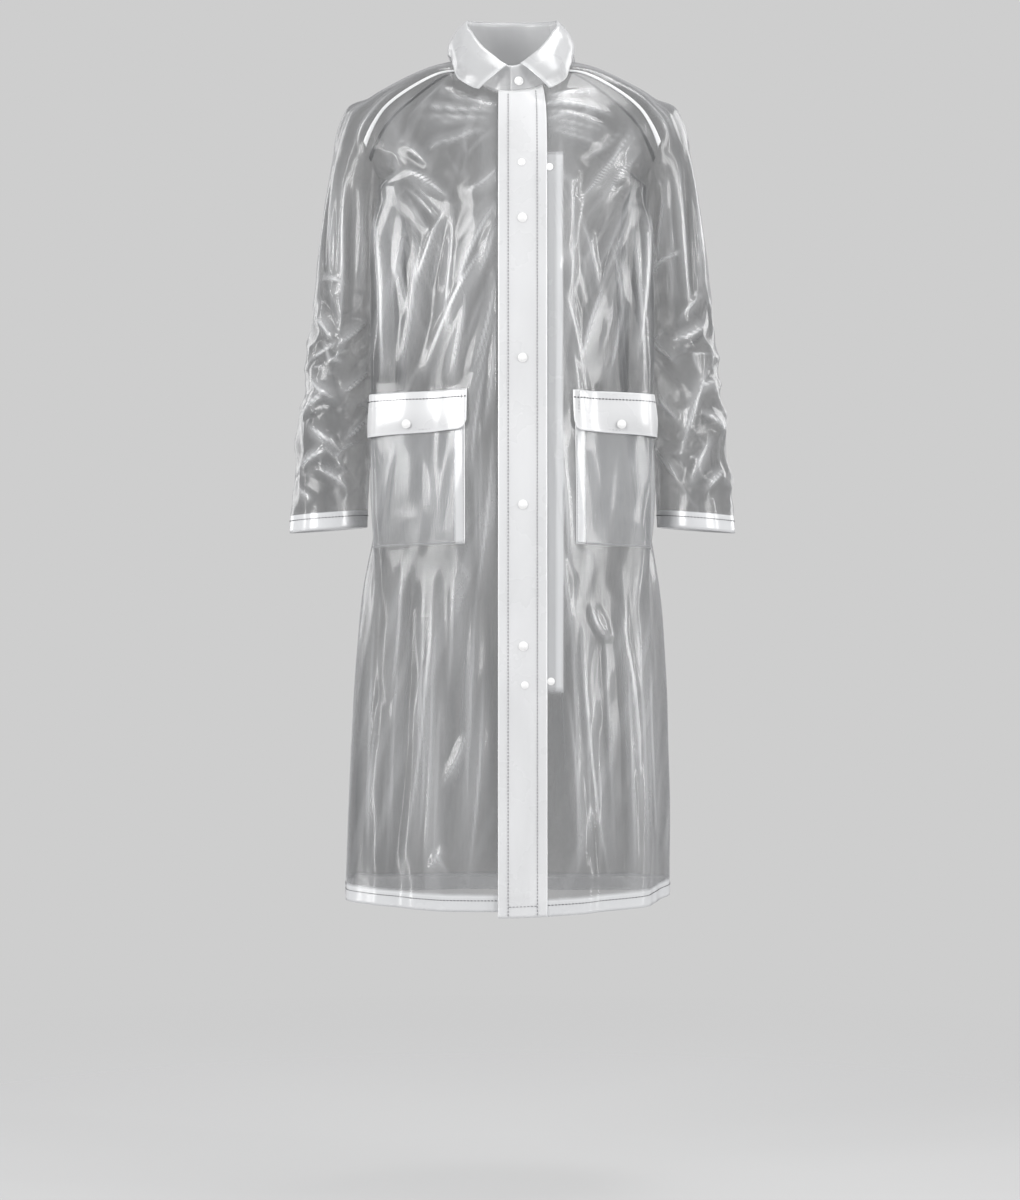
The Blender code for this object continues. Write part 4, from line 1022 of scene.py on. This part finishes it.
# %% Turned hem and cuffs
downs = np.linspace(HEM_DOWN - HEM_TURN, HEM_DOWN, 7)[:, None]
for name, made in panels.items():
    across = np.linspace(*made["places"][-1, [0, -1]], 110)[None, :] * np.ones(downs.shape)
    white_and_highlight = 0.7 * ramp((downs - HEM_DOWN + 0.0035) / 0.002) * np.ones(across.shape)
    lay(f"hem_{name}_film", made, across, downs, -TURNED_IN, turned, [f"hem_turn_{name}"], white_and_highlight)
for name, made in sleeves.items():
    tube = made["points"][1]
    rows = made["rings"][1][:, 0] >= CUFF_RING - 0.001
    out = outward([tube])[0]
    inside = tube[rows] - out[rows] * TURNED_IN
    add_sheet(f"cuff_{name}_film", [inside], turned, [f"cuff_turn_{name}"])

# %% [markdown]
# ## Pockets and flaps
# Each pocket is one film stitched on round three sides, and bags a little. Its flap is doubled,
# nearly solid white, cut a touch wider at the inside with a rounded corner, and held by a snap.

# %% Pockets
# which panel, and the distances of the inner and the outer edge from the middle
POCKETS = {"right": (front_right, -0.063, -0.223), "left": (front_left, 0.085, 0.245)}
POCKET_WIDE, POCKET_LONG = 0.16, 0.20
# the columns of FRONT_FOLDS, with places as shares of the pocket
POCKET_FOLDS = (
    (0.12, 0.30, 0.22, 0.95, 0.07, 0.0022, 0.03),
    (0.38, 0.28, 0.30, 0.90, -0.08, 0.0026, -0.03),
    (0.62, 0.30, 0.70, 0.96, 0.07, 0.0024, 0.04),
    (0.86, 0.34, 0.80, 0.88, -0.06, 0.0020, 0.02),
    (0.30, 0.80, 0.66, 0.90, 0.06, 0.0016, 0.03),
)


def patch_shares(side, rows, columns):
    """Shares of a pocket or flap: from its inner to its outer edge, and from its top down."""
    share, drop = np.meshgrid(np.linspace(0, 1, columns), np.linspace(0, 1, rows))
    return (share[:, ::-1] if side == "right" else share), drop


for side, (made, inner, outer) in POCKETS.items():
    share, drop = patch_shares(side, 52, 42)
    across = inner + (outer - inner) * share
    top = POCKET_TOP + 0.004
    down = top + (POCKET_BOTTOM - top) * drop
    bag = bump(2 * share - 1) * bump((drop - 0.62) / 0.62)
    folds, white_and_highlight = lay_folds(share, drop, POCKET_FOLDS)
    edge = np.minimum(np.minimum(share, 1 - share) * POCKET_WIDE, (1 - drop) * POCKET_LONG)
    lift = 0.0010 + (0.0045 * bag + folds) * ramp(edge / 0.016)
    doubled = 0.85 * (1 - ramp((share * POCKET_WIDE - 0.0145) / 0.001))
    doubled = doubled + 0.5 * (1 - ramp(edge / 0.002))
    # white where the pocket is doubled at its inner edge and rim, plus painted highlights along its
    # folds
    lay(f"pocket_{side}_film", made, across, down, lift, pouch, [f"pocket_{side}"],
        np.clip(np.maximum(doubled, white_and_highlight * 0.5), 0, 1))

# %% Flaps
FLAP_WIDE, FLAP_LONG, FLAP_CORNER = 0.164, 0.055, 0.014


def flap_grid(side):
    """A flap whose lower corners are rounded, by places and its own share and drop."""
    share, drop = patch_shares(side, 26, 46)
    inside = np.clip(FLAP_CORNER - np.minimum(share, 1 - share) * FLAP_WIDE, 0, FLAP_CORNER)
    round_off = FLAP_CORNER - np.sqrt(np.clip(FLAP_CORNER**2 - inside**2, 0, None))
    length = FLAP_BOTTOM - POCKET_TOP + 0.004 * (share - 0.5) - 0.85 * round_off
    made, inner, outer = POCKETS[side]
    across = inner + (outer - inner) * (share * 1.025 - 0.02)
    return made, share, drop, across, POCKET_TOP - 0.004 + length * drop


for side in POCKETS:
    made, share, drop, across, down = flap_grid(side)
    swing = 0.0016 * drop * (1 + np.sin(share * 9 + 1))
    swing = swing + 0.0045 * bump((drop - 0.6) / 0.6) * bump(2 * share - 1)
    edge = np.minimum(np.minimum(share, 1 - share) * POCKET_WIDE, (1 - drop) * FLAP_LONG)
    lay(f"flap_{side}_film", made, across, down, 0.0034 + swing, flaps, [f"pocket_flap_{side}"],
        0.9 * (1 - ramp((edge - 0.001) / 0.0015)))

# %% [markdown]
# ## Collar
# A shirt collar: a stand that follows the neck seam and a fall that turns over it. The fine one
# reads the neck seam from the finished pieces, as the solid one does.

# %% Stand and fall
def collar_seam(columns):
    """Even points along the neck seam from near the left front's free edge round to the other's,
    how far along each is, and the whole length."""
    loop = np.concatenate([
        front_left["points"][0], sleeves["left"]["points"][0][0], back["points"][0],
        sleeves["right"]["points"][0][0], front_right["points"][0],
    ])
    steps = np.linalg.norm(np.diff(loop, axis=0), axis=1)
    loop = loop[np.concatenate([[True], steps > 1e-4])]
    run = np.concatenate([[0], np.cumsum(np.linalg.norm(np.diff(loop, axis=0), axis=1))])
    wanted = np.linspace(0.016, run[-1], columns)
    return np.stack([np.interp(wanted, run, loop[:, k]) for k in range(3)], -1), wanted, run[-1]


seam, run, whole = collar_seam(190)
angle = np.degrees(np.abs(np.arctan2(seam[:, 0], -seam[:, 1])))
cut = read(COLLAR, "angle", angle)
away = seam * (1, 1, 0) / np.linalg.norm(seam[:, :2], axis=1, keepdims=True)
fold = np.stack([seam[:, 0] * cut["lean"], seam[:, 1] * cut["lean"], cut["fold_z"]], -1)
foot = seam + (0, 0, 0.0006)
parts = np.linspace(1, 0, 12)
stand = np.array([foot + (fold - foot) * part for part in parts])
ripple = 0.0010 * np.sin(run * 61) * np.sin(run * 23 + 1)
stand = stand + away[None] * (ripple[None, :, None] * np.sin(parts * np.pi)[:, None, None])
add_sheet("collar_stand_film", [stand], collar, ["collar_stand"],
          white_and_highlight=[0.6 * bump((parts - 1) / 0.12)[:, None] * np.ones(stand.shape[:2])])
print("neck seam:", round(float(whole), 3), "m")

# %% Fall of the collar
keep = slice(5, -10)
top, away_top, run_top = fold[keep], away[keep], run[keep]
fall = {name: column[keep] for name, column in cut.items()}
edge_angle = np.radians(fall["edge_angle"]) * np.sign(top[:, 0])
reach = fall["edge_reach"][:, None]
edge = np.concatenate([
    np.stack([np.sin(edge_angle), -np.cos(edge_angle)], -1) * reach, fall["edge_z"][:, None]
], -1)
parts = np.linspace(0, 1, 20)
bulge = smooth(np.array([0.0, 0.30, 0.62, 1.0]), np.array([0.0036, 0.0085, 0.0080, 0.0]), parts)
leaf = [top + (0, 0, 0.0012)]
for part, swell in zip(parts, bulge):
    wave = 0.0016 * part * np.sin(run_top * 27 + 2) + 0.0012 * part * np.sin(run_top * 63)
    leaf.append(top + (edge - top) * part + away_top * (swell + wave[:, None]))
leaf = np.array(leaf)
ends = np.minimum(np.arange(leaf.shape[1]), np.arange(leaf.shape[1])[::-1])
mark = np.maximum(0.8 * bump((parts - 1) / 0.07)[:, None], 0.7 * bump(ends / 2.5)[None, :])
mark = np.concatenate([np.full((1, leaf.shape[1]), 0.5), mark])
add_sheet("collar_fall_film", [leaf], collar, ["collar_fall"], white_and_highlight=[mark])

# %% [markdown]
# ## Welded seams
# Raglan and side seams of film coats are welded: the edges lap by 8 to 10 mm, and the lap is a white
# band. Each band lies on the sleeve or front beside the seam.

# %% Seam bands
BAND_LIFT = 0.0007
RAGLAN_BAND = 0.0100


def sleeve_place(made, grid, rings, angles):
    """Points and outward directions on one grid of a sleeve, by ring and angle."""
    points = made["points"][grid]
    out = outward(made["points"])[grid]
    all_rings, all_angles = made["rings"][grid], made["angles"][grid]
    found_points, found_out = [], []
    for ring, angle in zip(rings, angles):
        row = int(np.argmin(np.abs(all_rings[:, 0] - ring)))
        order = np.argsort(all_angles[row])
        column = np.interp(angle, all_angles[row][order], order)
        low = np.clip(np.floor(column).astype(int), 0, points.shape[1] - 2)
        part = (column - low)[:, None]
        found_points.append(points[row, low] * (1 - part) + points[row, low + 1] * part)
        found_out.append(out[row, low] * (1 - part) + out[row, low + 1] * part)
    return np.array(found_points), unit(np.array(found_out))


def facing_out(grid, out):
    """The grid with its columns turned round if it faces in."""
    if np.sum(outward([grid])[0] * out) < 0:
        return grid[:, ::-1]
    return grid


for name, made in sleeves.items():
    rings = made["rings"][0][:, 0]
    for place, way in (("front", 1), ("back", -1)):
        seam_at = seam_angle(rings)[:, None]
        wide = np.degrees(RAGLAN_BAND / read(SLEEVE, "ring", rings)["depth"])[:, None]
        angles = way * (seam_at - wide * np.linspace(0, 1, 5)[None, :])
        points, out = sleeve_place(made, 0, rings, angles)
        grid = facing_out(points + out * BAND_LIFT, out)
        lines = 0.7 * np.abs(np.linspace(-1, 1, 5)[None, :]) ** 3 * np.ones(grid.shape[:2])
        add_sheet(f"raglan_{place}_{name}", [grid], turned, white_and_highlight=[lines], weld=True)

for name, made, ways in (("right", front_right, 0), ("left", front_left, -1)):
    downs = np.linspace(ARMPIT_DOWN + 0.004, HEM_DOWN - 0.001, 230)[:, None]
    ends = np.interp(downs, made["downs"], made["places"][:, ways])
    inward = np.linspace(0.0005, 0.0075, 4)[None, :]
    across = ends - inward if ways else ends + inward
    points, out = on_panel(made, across, downs * np.ones(across.shape))
    grid = facing_out(points + out * BAND_LIFT, out)
    add_sheet(f"side_seam_{name}", [grid], welded, weld=True)

# %% [markdown]
# ## Stitches
# The hem, cuffs, placket, pockets and flaps are topstitched, some with dark thread and some with
# grey. Each stitch is a small rounded bead of thread about 3.3 mm long, sunk a little into the film
# at its ends.

# %% Thread
def plain(name, colour, rough, scale, depth):
    """A solid finish with fine grain in its colour, roughness and surface."""
    material, nodes, links, shader = node_material(name)
    place = nodes.new("ShaderNodeTexCoord")
    grain = nodes.new("ShaderNodeTexNoise")
    grain.inputs["Scale"].default_value = scale
    grain.inputs["Detail"].default_value = 4.0
    links.new(place.outputs["Object"], grain.inputs["Vector"])
    shade = nodes.new("ShaderNodeMix")
    shade.data_type = "RGBA"
    shade.inputs["A"].default_value = (*[c * 0.86 for c in colour], 1)
    shade.inputs["B"].default_value = (*[min(c * 1.08, 1) for c in colour], 1)
    links.new(grain.outputs["Fac"], shade.inputs["Factor"])
    links.new(shade.outputs["Result"], shader.inputs["Base Color"])
    uneven = add_range(nodes, links, grain.outputs["Fac"], 0, 1, rough * 0.8, rough * 1.2)
    links.new(uneven, shader.inputs["Roughness"])
    relief = nodes.new("ShaderNodeBump")
    relief.inputs["Strength"].default_value = 0.4
    relief.inputs["Distance"].default_value = depth
    links.new(grain.outputs["Fac"], relief.inputs["Height"])
    links.new(relief.outputs["Normal"], shader.inputs["Normal"])
    return material


dark_thread = plain("dark_thread", (0.055, 0.055, 0.06), 0.62, 900.0, 0.0002)
grey_thread = plain("grey_thread", (0.26, 0.26, 0.27), 0.62, 900.0, 0.0002)
print("threads:", dark_thread.name, grey_thread.name)

# %% Rows of stitches
HEM_STITCH = 0.015  # the hem's stitches run this far above its edge
PLACKET_STITCH = 0.0135  # and the placket's this far inside its edges
CUFF_STITCH_RING = 13.74
CORNERS = 6  # of a stitch's cross section
PROFILE = ((-1.0, 0.25), (-0.72, 0.85), (0.0, 1.0), (0.72, 0.85), (1.0, 0.25))  # along, thickness
stitch_rows = {}


def sew(name, points, out, material, pitch=0.0046, size=0.00055):
    """Stitches along a line of close points, kept to be joined with others of the same name."""
    steps = np.linalg.norm(np.diff(points, axis=0), axis=1)
    run = np.concatenate([[0], np.cumsum(steps)])
    count = max(2, int(run[-1] / pitch))
    middles = (np.arange(count) + 0.5) * run[-1] / count
    long = 0.36 * pitch

    def at(where, values):
        return np.stack([np.interp(where, run, values[:, k]) for k in range(3)], -1)

    centre, up = at(middles, points), unit(at(middles, out))
    ahead = unit(at(middles + long, points) - at(middles - long, points))
    across = unit(np.cross(ahead, up))
    ring = [(math.cos(turn * math.pi / 3), math.sin(turn * math.pi / 3)) for turn in range(CORNERS)]
    kept = stitch_rows.setdefault(name, {"points": [], "faces": [], "material": material, "count": 0})
    for c, u, a, s in zip(centre, up, ahead, across):
        first = len(kept["points"])
        for along, thick in PROFILE:
            body = c + a * along * long + u * size * (0.5 - 0.6 * along * along)
            kept["points"] += [body + size * thick * (s * cosine + u * sine) for cosine, sine in ring]
        last = len(kept["points"]) - CORNERS
        for low in range(first, last, CORNERS):
            for turn in range(CORNERS):
                after, high = (turn + 1) % CORNERS, low + CORNERS
                kept["faces"].append((low + turn, low + after, high + after, high + turn))
        kept["faces"].append(tuple(first + turn for turn in reversed(range(CORNERS))))
        kept["faces"].append(tuple(last + turn for turn in range(CORNERS)))
        kept["count"] += 1


def sew_on(name, made, across, down, lift, material, **sizes):
    """Stitches on a panel, along the places given and 'lift' outside it."""
    points, out = on_panel(made, across, down)
    sew(name, points + out * lift, out, material, **sizes)


close = np.linspace(0, 1, 500)
for name, made in panels.items():
    places = made["places"][-1]
    stop = PLACKET_EDGE - 0.001 if name == "front_right" else places[-1]
    start = PLACKET_INNER if name == "front_left" else places[0]
    sew_on("hem", made, start + (stop - start) * close, HEM_DOWN - HEM_STITCH, 0.0003, dark_thread)
first, last = PLACKET_EDGE + PLACKET_STITCH, PLACKET_INNER - PLACKET_STITCH
length = NECK_DOWN + 0.004 + (HEM_DOWN - NECK_DOWN - 0.006) * close
for at in (first, last):
    sew_on("placket", front_left, at, length, LAYER + 0.0008, grey_thread)
foot = first + (last - first) * close
sew_on("placket", front_left, foot, HEM_DOWN - HEM_STITCH, LAYER + 0.0010, grey_thread)
for made in sleeves.values():
    points, out = sleeve_place(made, 1, [CUFF_STITCH_RING], [np.linspace(-179.9, 179.9, 300)])
    sew("cuffs", points[0] + out[0] * 0.0004, out[0], dark_thread)
print("stitched so far:", {name: kept["count"] for name, kept in stitch_rows.items()})

# %% Stitches of the pockets and flaps
IN_FROM_EDGE = 0.0022  # the pocket's stitches run this far inside its edges
ON_POCKET, ON_FLAP_TOP, ON_FLAP = 0.0016, 0.0044, 0.0052  # how far outside the front they lie


def hem_round(grid):
    """A line along both sides and the foot of a flap, two cells in from its edge."""
    return np.concatenate([grid[:-3, 2], grid[-3, 2:-2], grid[-3::-1, -3]])


for side, (made, inner, outer) in POCKETS.items():
    way = 1 if outer > inner else -1
    first, last = inner + way * IN_FROM_EDGE, outer - way * IN_FROM_EDGE
    low = POCKET_BOTTOM - IN_FROM_EDGE
    for at in (first, last):
        length = FLAP_BOTTOM + (low - FLAP_BOTTOM) * close
        sew_on("pockets", made, at, length, ON_POCKET, grey_thread, size=0.00032)
    foot = first + (last - first) * close
    sew_on("pockets", made, foot, low, ON_POCKET, dark_thread, size=0.00034)
    top = inner - way * 0.003 + (outer - inner) * 1.02 * close
    sew_on("flap_tops", made, top, POCKET_TOP + 0.006, ON_FLAP_TOP, dark_thread, size=0.0008)
    _, _, _, across, down = flap_grid(side)
    sew_on("flap_edges", made, hem_round(across), hem_round(down), ON_FLAP, grey_thread, size=0.00030)
for name, kept in stitch_rows.items():
    points = np.array(kept["points"])
    add_piece(f"stitches_{name}", points, kept["faces"], kept["material"], ())
print("stitches in all:", sum(kept["count"] for kept in stitch_rows.values()))

# %% [markdown]
# ## Snaps
# A snap is a moulded cap 13 mm across with a soft dome and a thin rim. The flat ones between the
# layers are the other halves, seen through the film.

# %% Snap caps
snap_plastic = plain("snap_plastic", (0.93, 0.93, 0.92), 0.24, 260.0, 0.0001)


TURNS = 32  # corners round a cap
# reach and rise of a cap's outline, as shares of its radius and height
CAP_OUTLINE = (
    (1.00, 0.00), (1.00, 0.18), (0.97, 0.30), (0.90, 0.36), (0.84, 0.30), (0.78, 0.40),
    (0.66, 0.66), (0.48, 0.86), (0.28, 0.97), (0.10, 1.00),
)
CAP, SMALL_CAP, FLAT_CAP = (0.0065, 0.0030), (0.0062, 0.0028), (0.0052, 0.0014)  # radius, height
ON_PLACKET = LAYER + 0.0011


def add_snap(name, point, out, lift, sizes, node):
    """A turned cap with a rim, a shallow groove and a dome."""
    radius, height = sizes
    out = out / np.linalg.norm(out)
    side = unit(np.cross(out, (0.0, 0.0, 1.0)))
    up = np.cross(side, out)
    points = [point + out * lift]
    for reach, rise in CAP_OUTLINE:
        for turn in np.linspace(0, 2 * math.pi, TURNS + 1)[:-1]:
            around = side * math.cos(turn) + up * math.sin(turn)
            points.append(point + out * (lift + height * rise) + around * radius * reach)
    points.append(point + out * (lift + height))
    faces = []
    last = len(points) - 1
    for turn in range(TURNS):
        after = (turn + 1) % TURNS
        faces.append((0, 1 + turn, 1 + after))
        for low in range(1, last - TURNS, TURNS):
            high = low + TURNS
            faces.append((low + turn, high + turn, high + after, low + after))
        faces.append((last, last - TURNS + after, last - TURNS + turn))
    return add_piece(name, np.array(points), faces, snap_plastic, (node,))


# level and distance from the middle
FRONT_SNAPS = ((0.228, 0.0136), (0.416, 0.0138), (0.613, 0.0142), (0.803, 0.0148))
UNDER_SNAPS = ((0.152, 0.0125), (0.855, 0.0168), (0.158, 0.050), (0.850, 0.052))
for number, (down, across) in enumerate(FRONT_SNAPS, 1):
    point, out = on_panel(front_left, across, down)
    add_snap(f"snap_cap_{number}", point, out, ON_PLACKET, CAP, f"snap_front_{number}")
for number, (down, across) in enumerate(UNDER_SNAPS, 1):
    point, out = on_panel(front_left, across, down)
    lift = ON_PLACKET if across < PLACKET_INNER else 0.0002
    add_snap(f"snap_flat_{number}", point, out, lift, FLAT_CAP, f"snap_under_{number}")
for side, across in (("right", -0.145), ("left", 0.150)):
    point, out = on_panel(POCKETS[side][0], across, 0.500)
    add_snap(f"snap_cap_flap_{side}", point, out, 0.0085, SMALL_CAP, f"snap_flap_{side}")
near = np.linalg.norm(stand[:, :40, ::2] - (0.008, -0.037), axis=-1)
spot = np.unravel_index(np.argmin(near), near.shape)
add_snap("snap_cap_collar", stand[spot], outward([stand])[0][spot], 0.0004, SMALL_CAP, "snap_collar")
print("snaps:", sum(name.startswith("snap") for name in pieces))

# %% [markdown]
# ## Floor, light and camera
# Film shows best against an even pale ground with big soft lights: broad ones for the white of the
# doubled film, and narrow ones whose reflections run down the folds as bright streaks. The camera
# is level and far off, a little below the coat's middle.

# %% Floor and surroundings
FLOOR_Z = -1.55
SIDES_ROUND = 64
spots = [(0, 0, FLOOR_Z)]
for radius in (1.0, 2.0, 3.2):
    for turn in range(SIDES_ROUND):
        around = turn * 2 * math.pi / SIDES_ROUND
        spots.append((radius * math.cos(around), radius * math.sin(around), FLOOR_Z))
faces = []
for turn in range(SIDES_ROUND):
    after = (turn + 1) % SIDES_ROUND
    faces.append((0, 1 + turn, 1 + after))
    for row in (1, 1 + SIDES_ROUND):
        outer = row + SIDES_ROUND
        faces.append((row + turn, outer + turn, outer + after, row + after))
mesh = bpy.data.meshes.new("floor")
mesh.from_pydata(spots, [], faces)
floor = bpy.data.objects.new("floor", mesh)
bpy.context.scene.collection.objects.link(floor)
paper, nodes, links, shader = node_material("studio_paper")
shader.inputs["Base Color"].default_value = (0.62, 0.62, 0.62, 1)
shader.inputs["Roughness"].default_value = 0.9
place = nodes.new("ShaderNodeTexCoord")
distance = nodes.new("ShaderNodeVectorMath")
distance.operation = "LENGTH"
links.new(place.outputs["Object"], distance.inputs[0])
faded = add_range(nodes, links, distance.outputs["Value"], 1.6, 2.6, 0.55, 0.0)
links.new(faded, shader.inputs["Alpha"])
mesh.materials.append(paper)

world = bpy.data.worlds.new("studio")
bpy.context.scene.world = world
world.use_nodes = True
nodes, links = world.node_tree.nodes, world.node_tree.links
ground = nodes["Background"]
ground.inputs["Color"].default_value = (0.617, 0.617, 0.617, 1)
dim = nodes.new("ShaderNodeBackground")
dim.inputs["Color"].default_value = (0.40, 0.40, 0.41, 1)
path = nodes.new("ShaderNodeLightPath")
mix = nodes.new("ShaderNodeMixShader")
links.new(path.outputs["Is Camera Ray"], mix.inputs["Fac"])
links.new(dim.outputs["Background"], mix.inputs[1])
links.new(ground.outputs["Background"], mix.inputs[2])
links.new(mix.outputs["Shader"], nodes["World Output"].inputs["Surface"])
print("floor at", FLOOR_Z)

# %% Lights and camera
def add_light(name, place, target, width, height, power):
    """A soft rectangular light that looks at its target."""
    lamp = bpy.data.lights.new(name, "AREA")
    lamp.shape = "RECTANGLE"
    lamp.size, lamp.size_y = width, height
    lamp.energy = power
    light = bpy.data.objects.new(name, lamp)
    bpy.context.scene.collection.objects.link(light)
    light.location = place
    away = np.array(place, float) - np.array(target, float)
    away = away / np.linalg.norm(away)
    side = unit(np.cross((0.0, 0.0, 1.0), away))
    up = np.cross(away, side)
    light.rotation_euler = Matrix(np.array([side, up, away]).T.tolist()).to_euler()
    return light


add_light("key", (-2.3, -2.4, 0.5), (0, 0, -0.5), 1.3, 2.0, 68)
add_light("fill", (2.5, -2.2, 0.1), (0, 0, -0.6), 1.0, 2.0, 46)
add_light("top", (0.5, 0.2, 1.7), (0, 0, -0.1), 1.6, 1.0, 28)
add_light("strip_left", (-1.9, -0.5, -0.3), (-0.1, 0, -0.5), 0.14, 2.2, 8)
add_light("strip_right", (1.8, -0.7, -0.2), (0.1, 0, -0.5), 0.14, 2.2, 9)
add_light("behind_left", (-2.0, 2.3, 0.3), (0, 0, -0.5), 1.2, 2.0, 13)
add_light("behind_right", (2.2, 2.4, 0.5), (0, 0, -0.5), 1.3, 2.0, 19)

lens = bpy.data.cameras.new("camera")
lens.sensor_fit = "VERTICAL"
lens.sensor_height = 36.0
lens.lens = 94.0
lens.clip_start = 0.1
camera = bpy.data.objects.new("camera", lens)
bpy.context.scene.collection.objects.link(camera)
camera.location = (-0.003, -4.35, -0.741)
camera.rotation_euler = (math.pi / 2, 0, 0)
bpy.context.scene.camera = camera
bpy.context.scene.view_settings.view_transform = "Standard"
bpy.context.scene.cycles.transparent_max_bounces = 40
print("camera at", tuple(round(c, 3) for c in camera.location))

# %% Sizes
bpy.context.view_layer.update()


print("pieces:", len(pieces), "faces:", sum(pieces.values()))
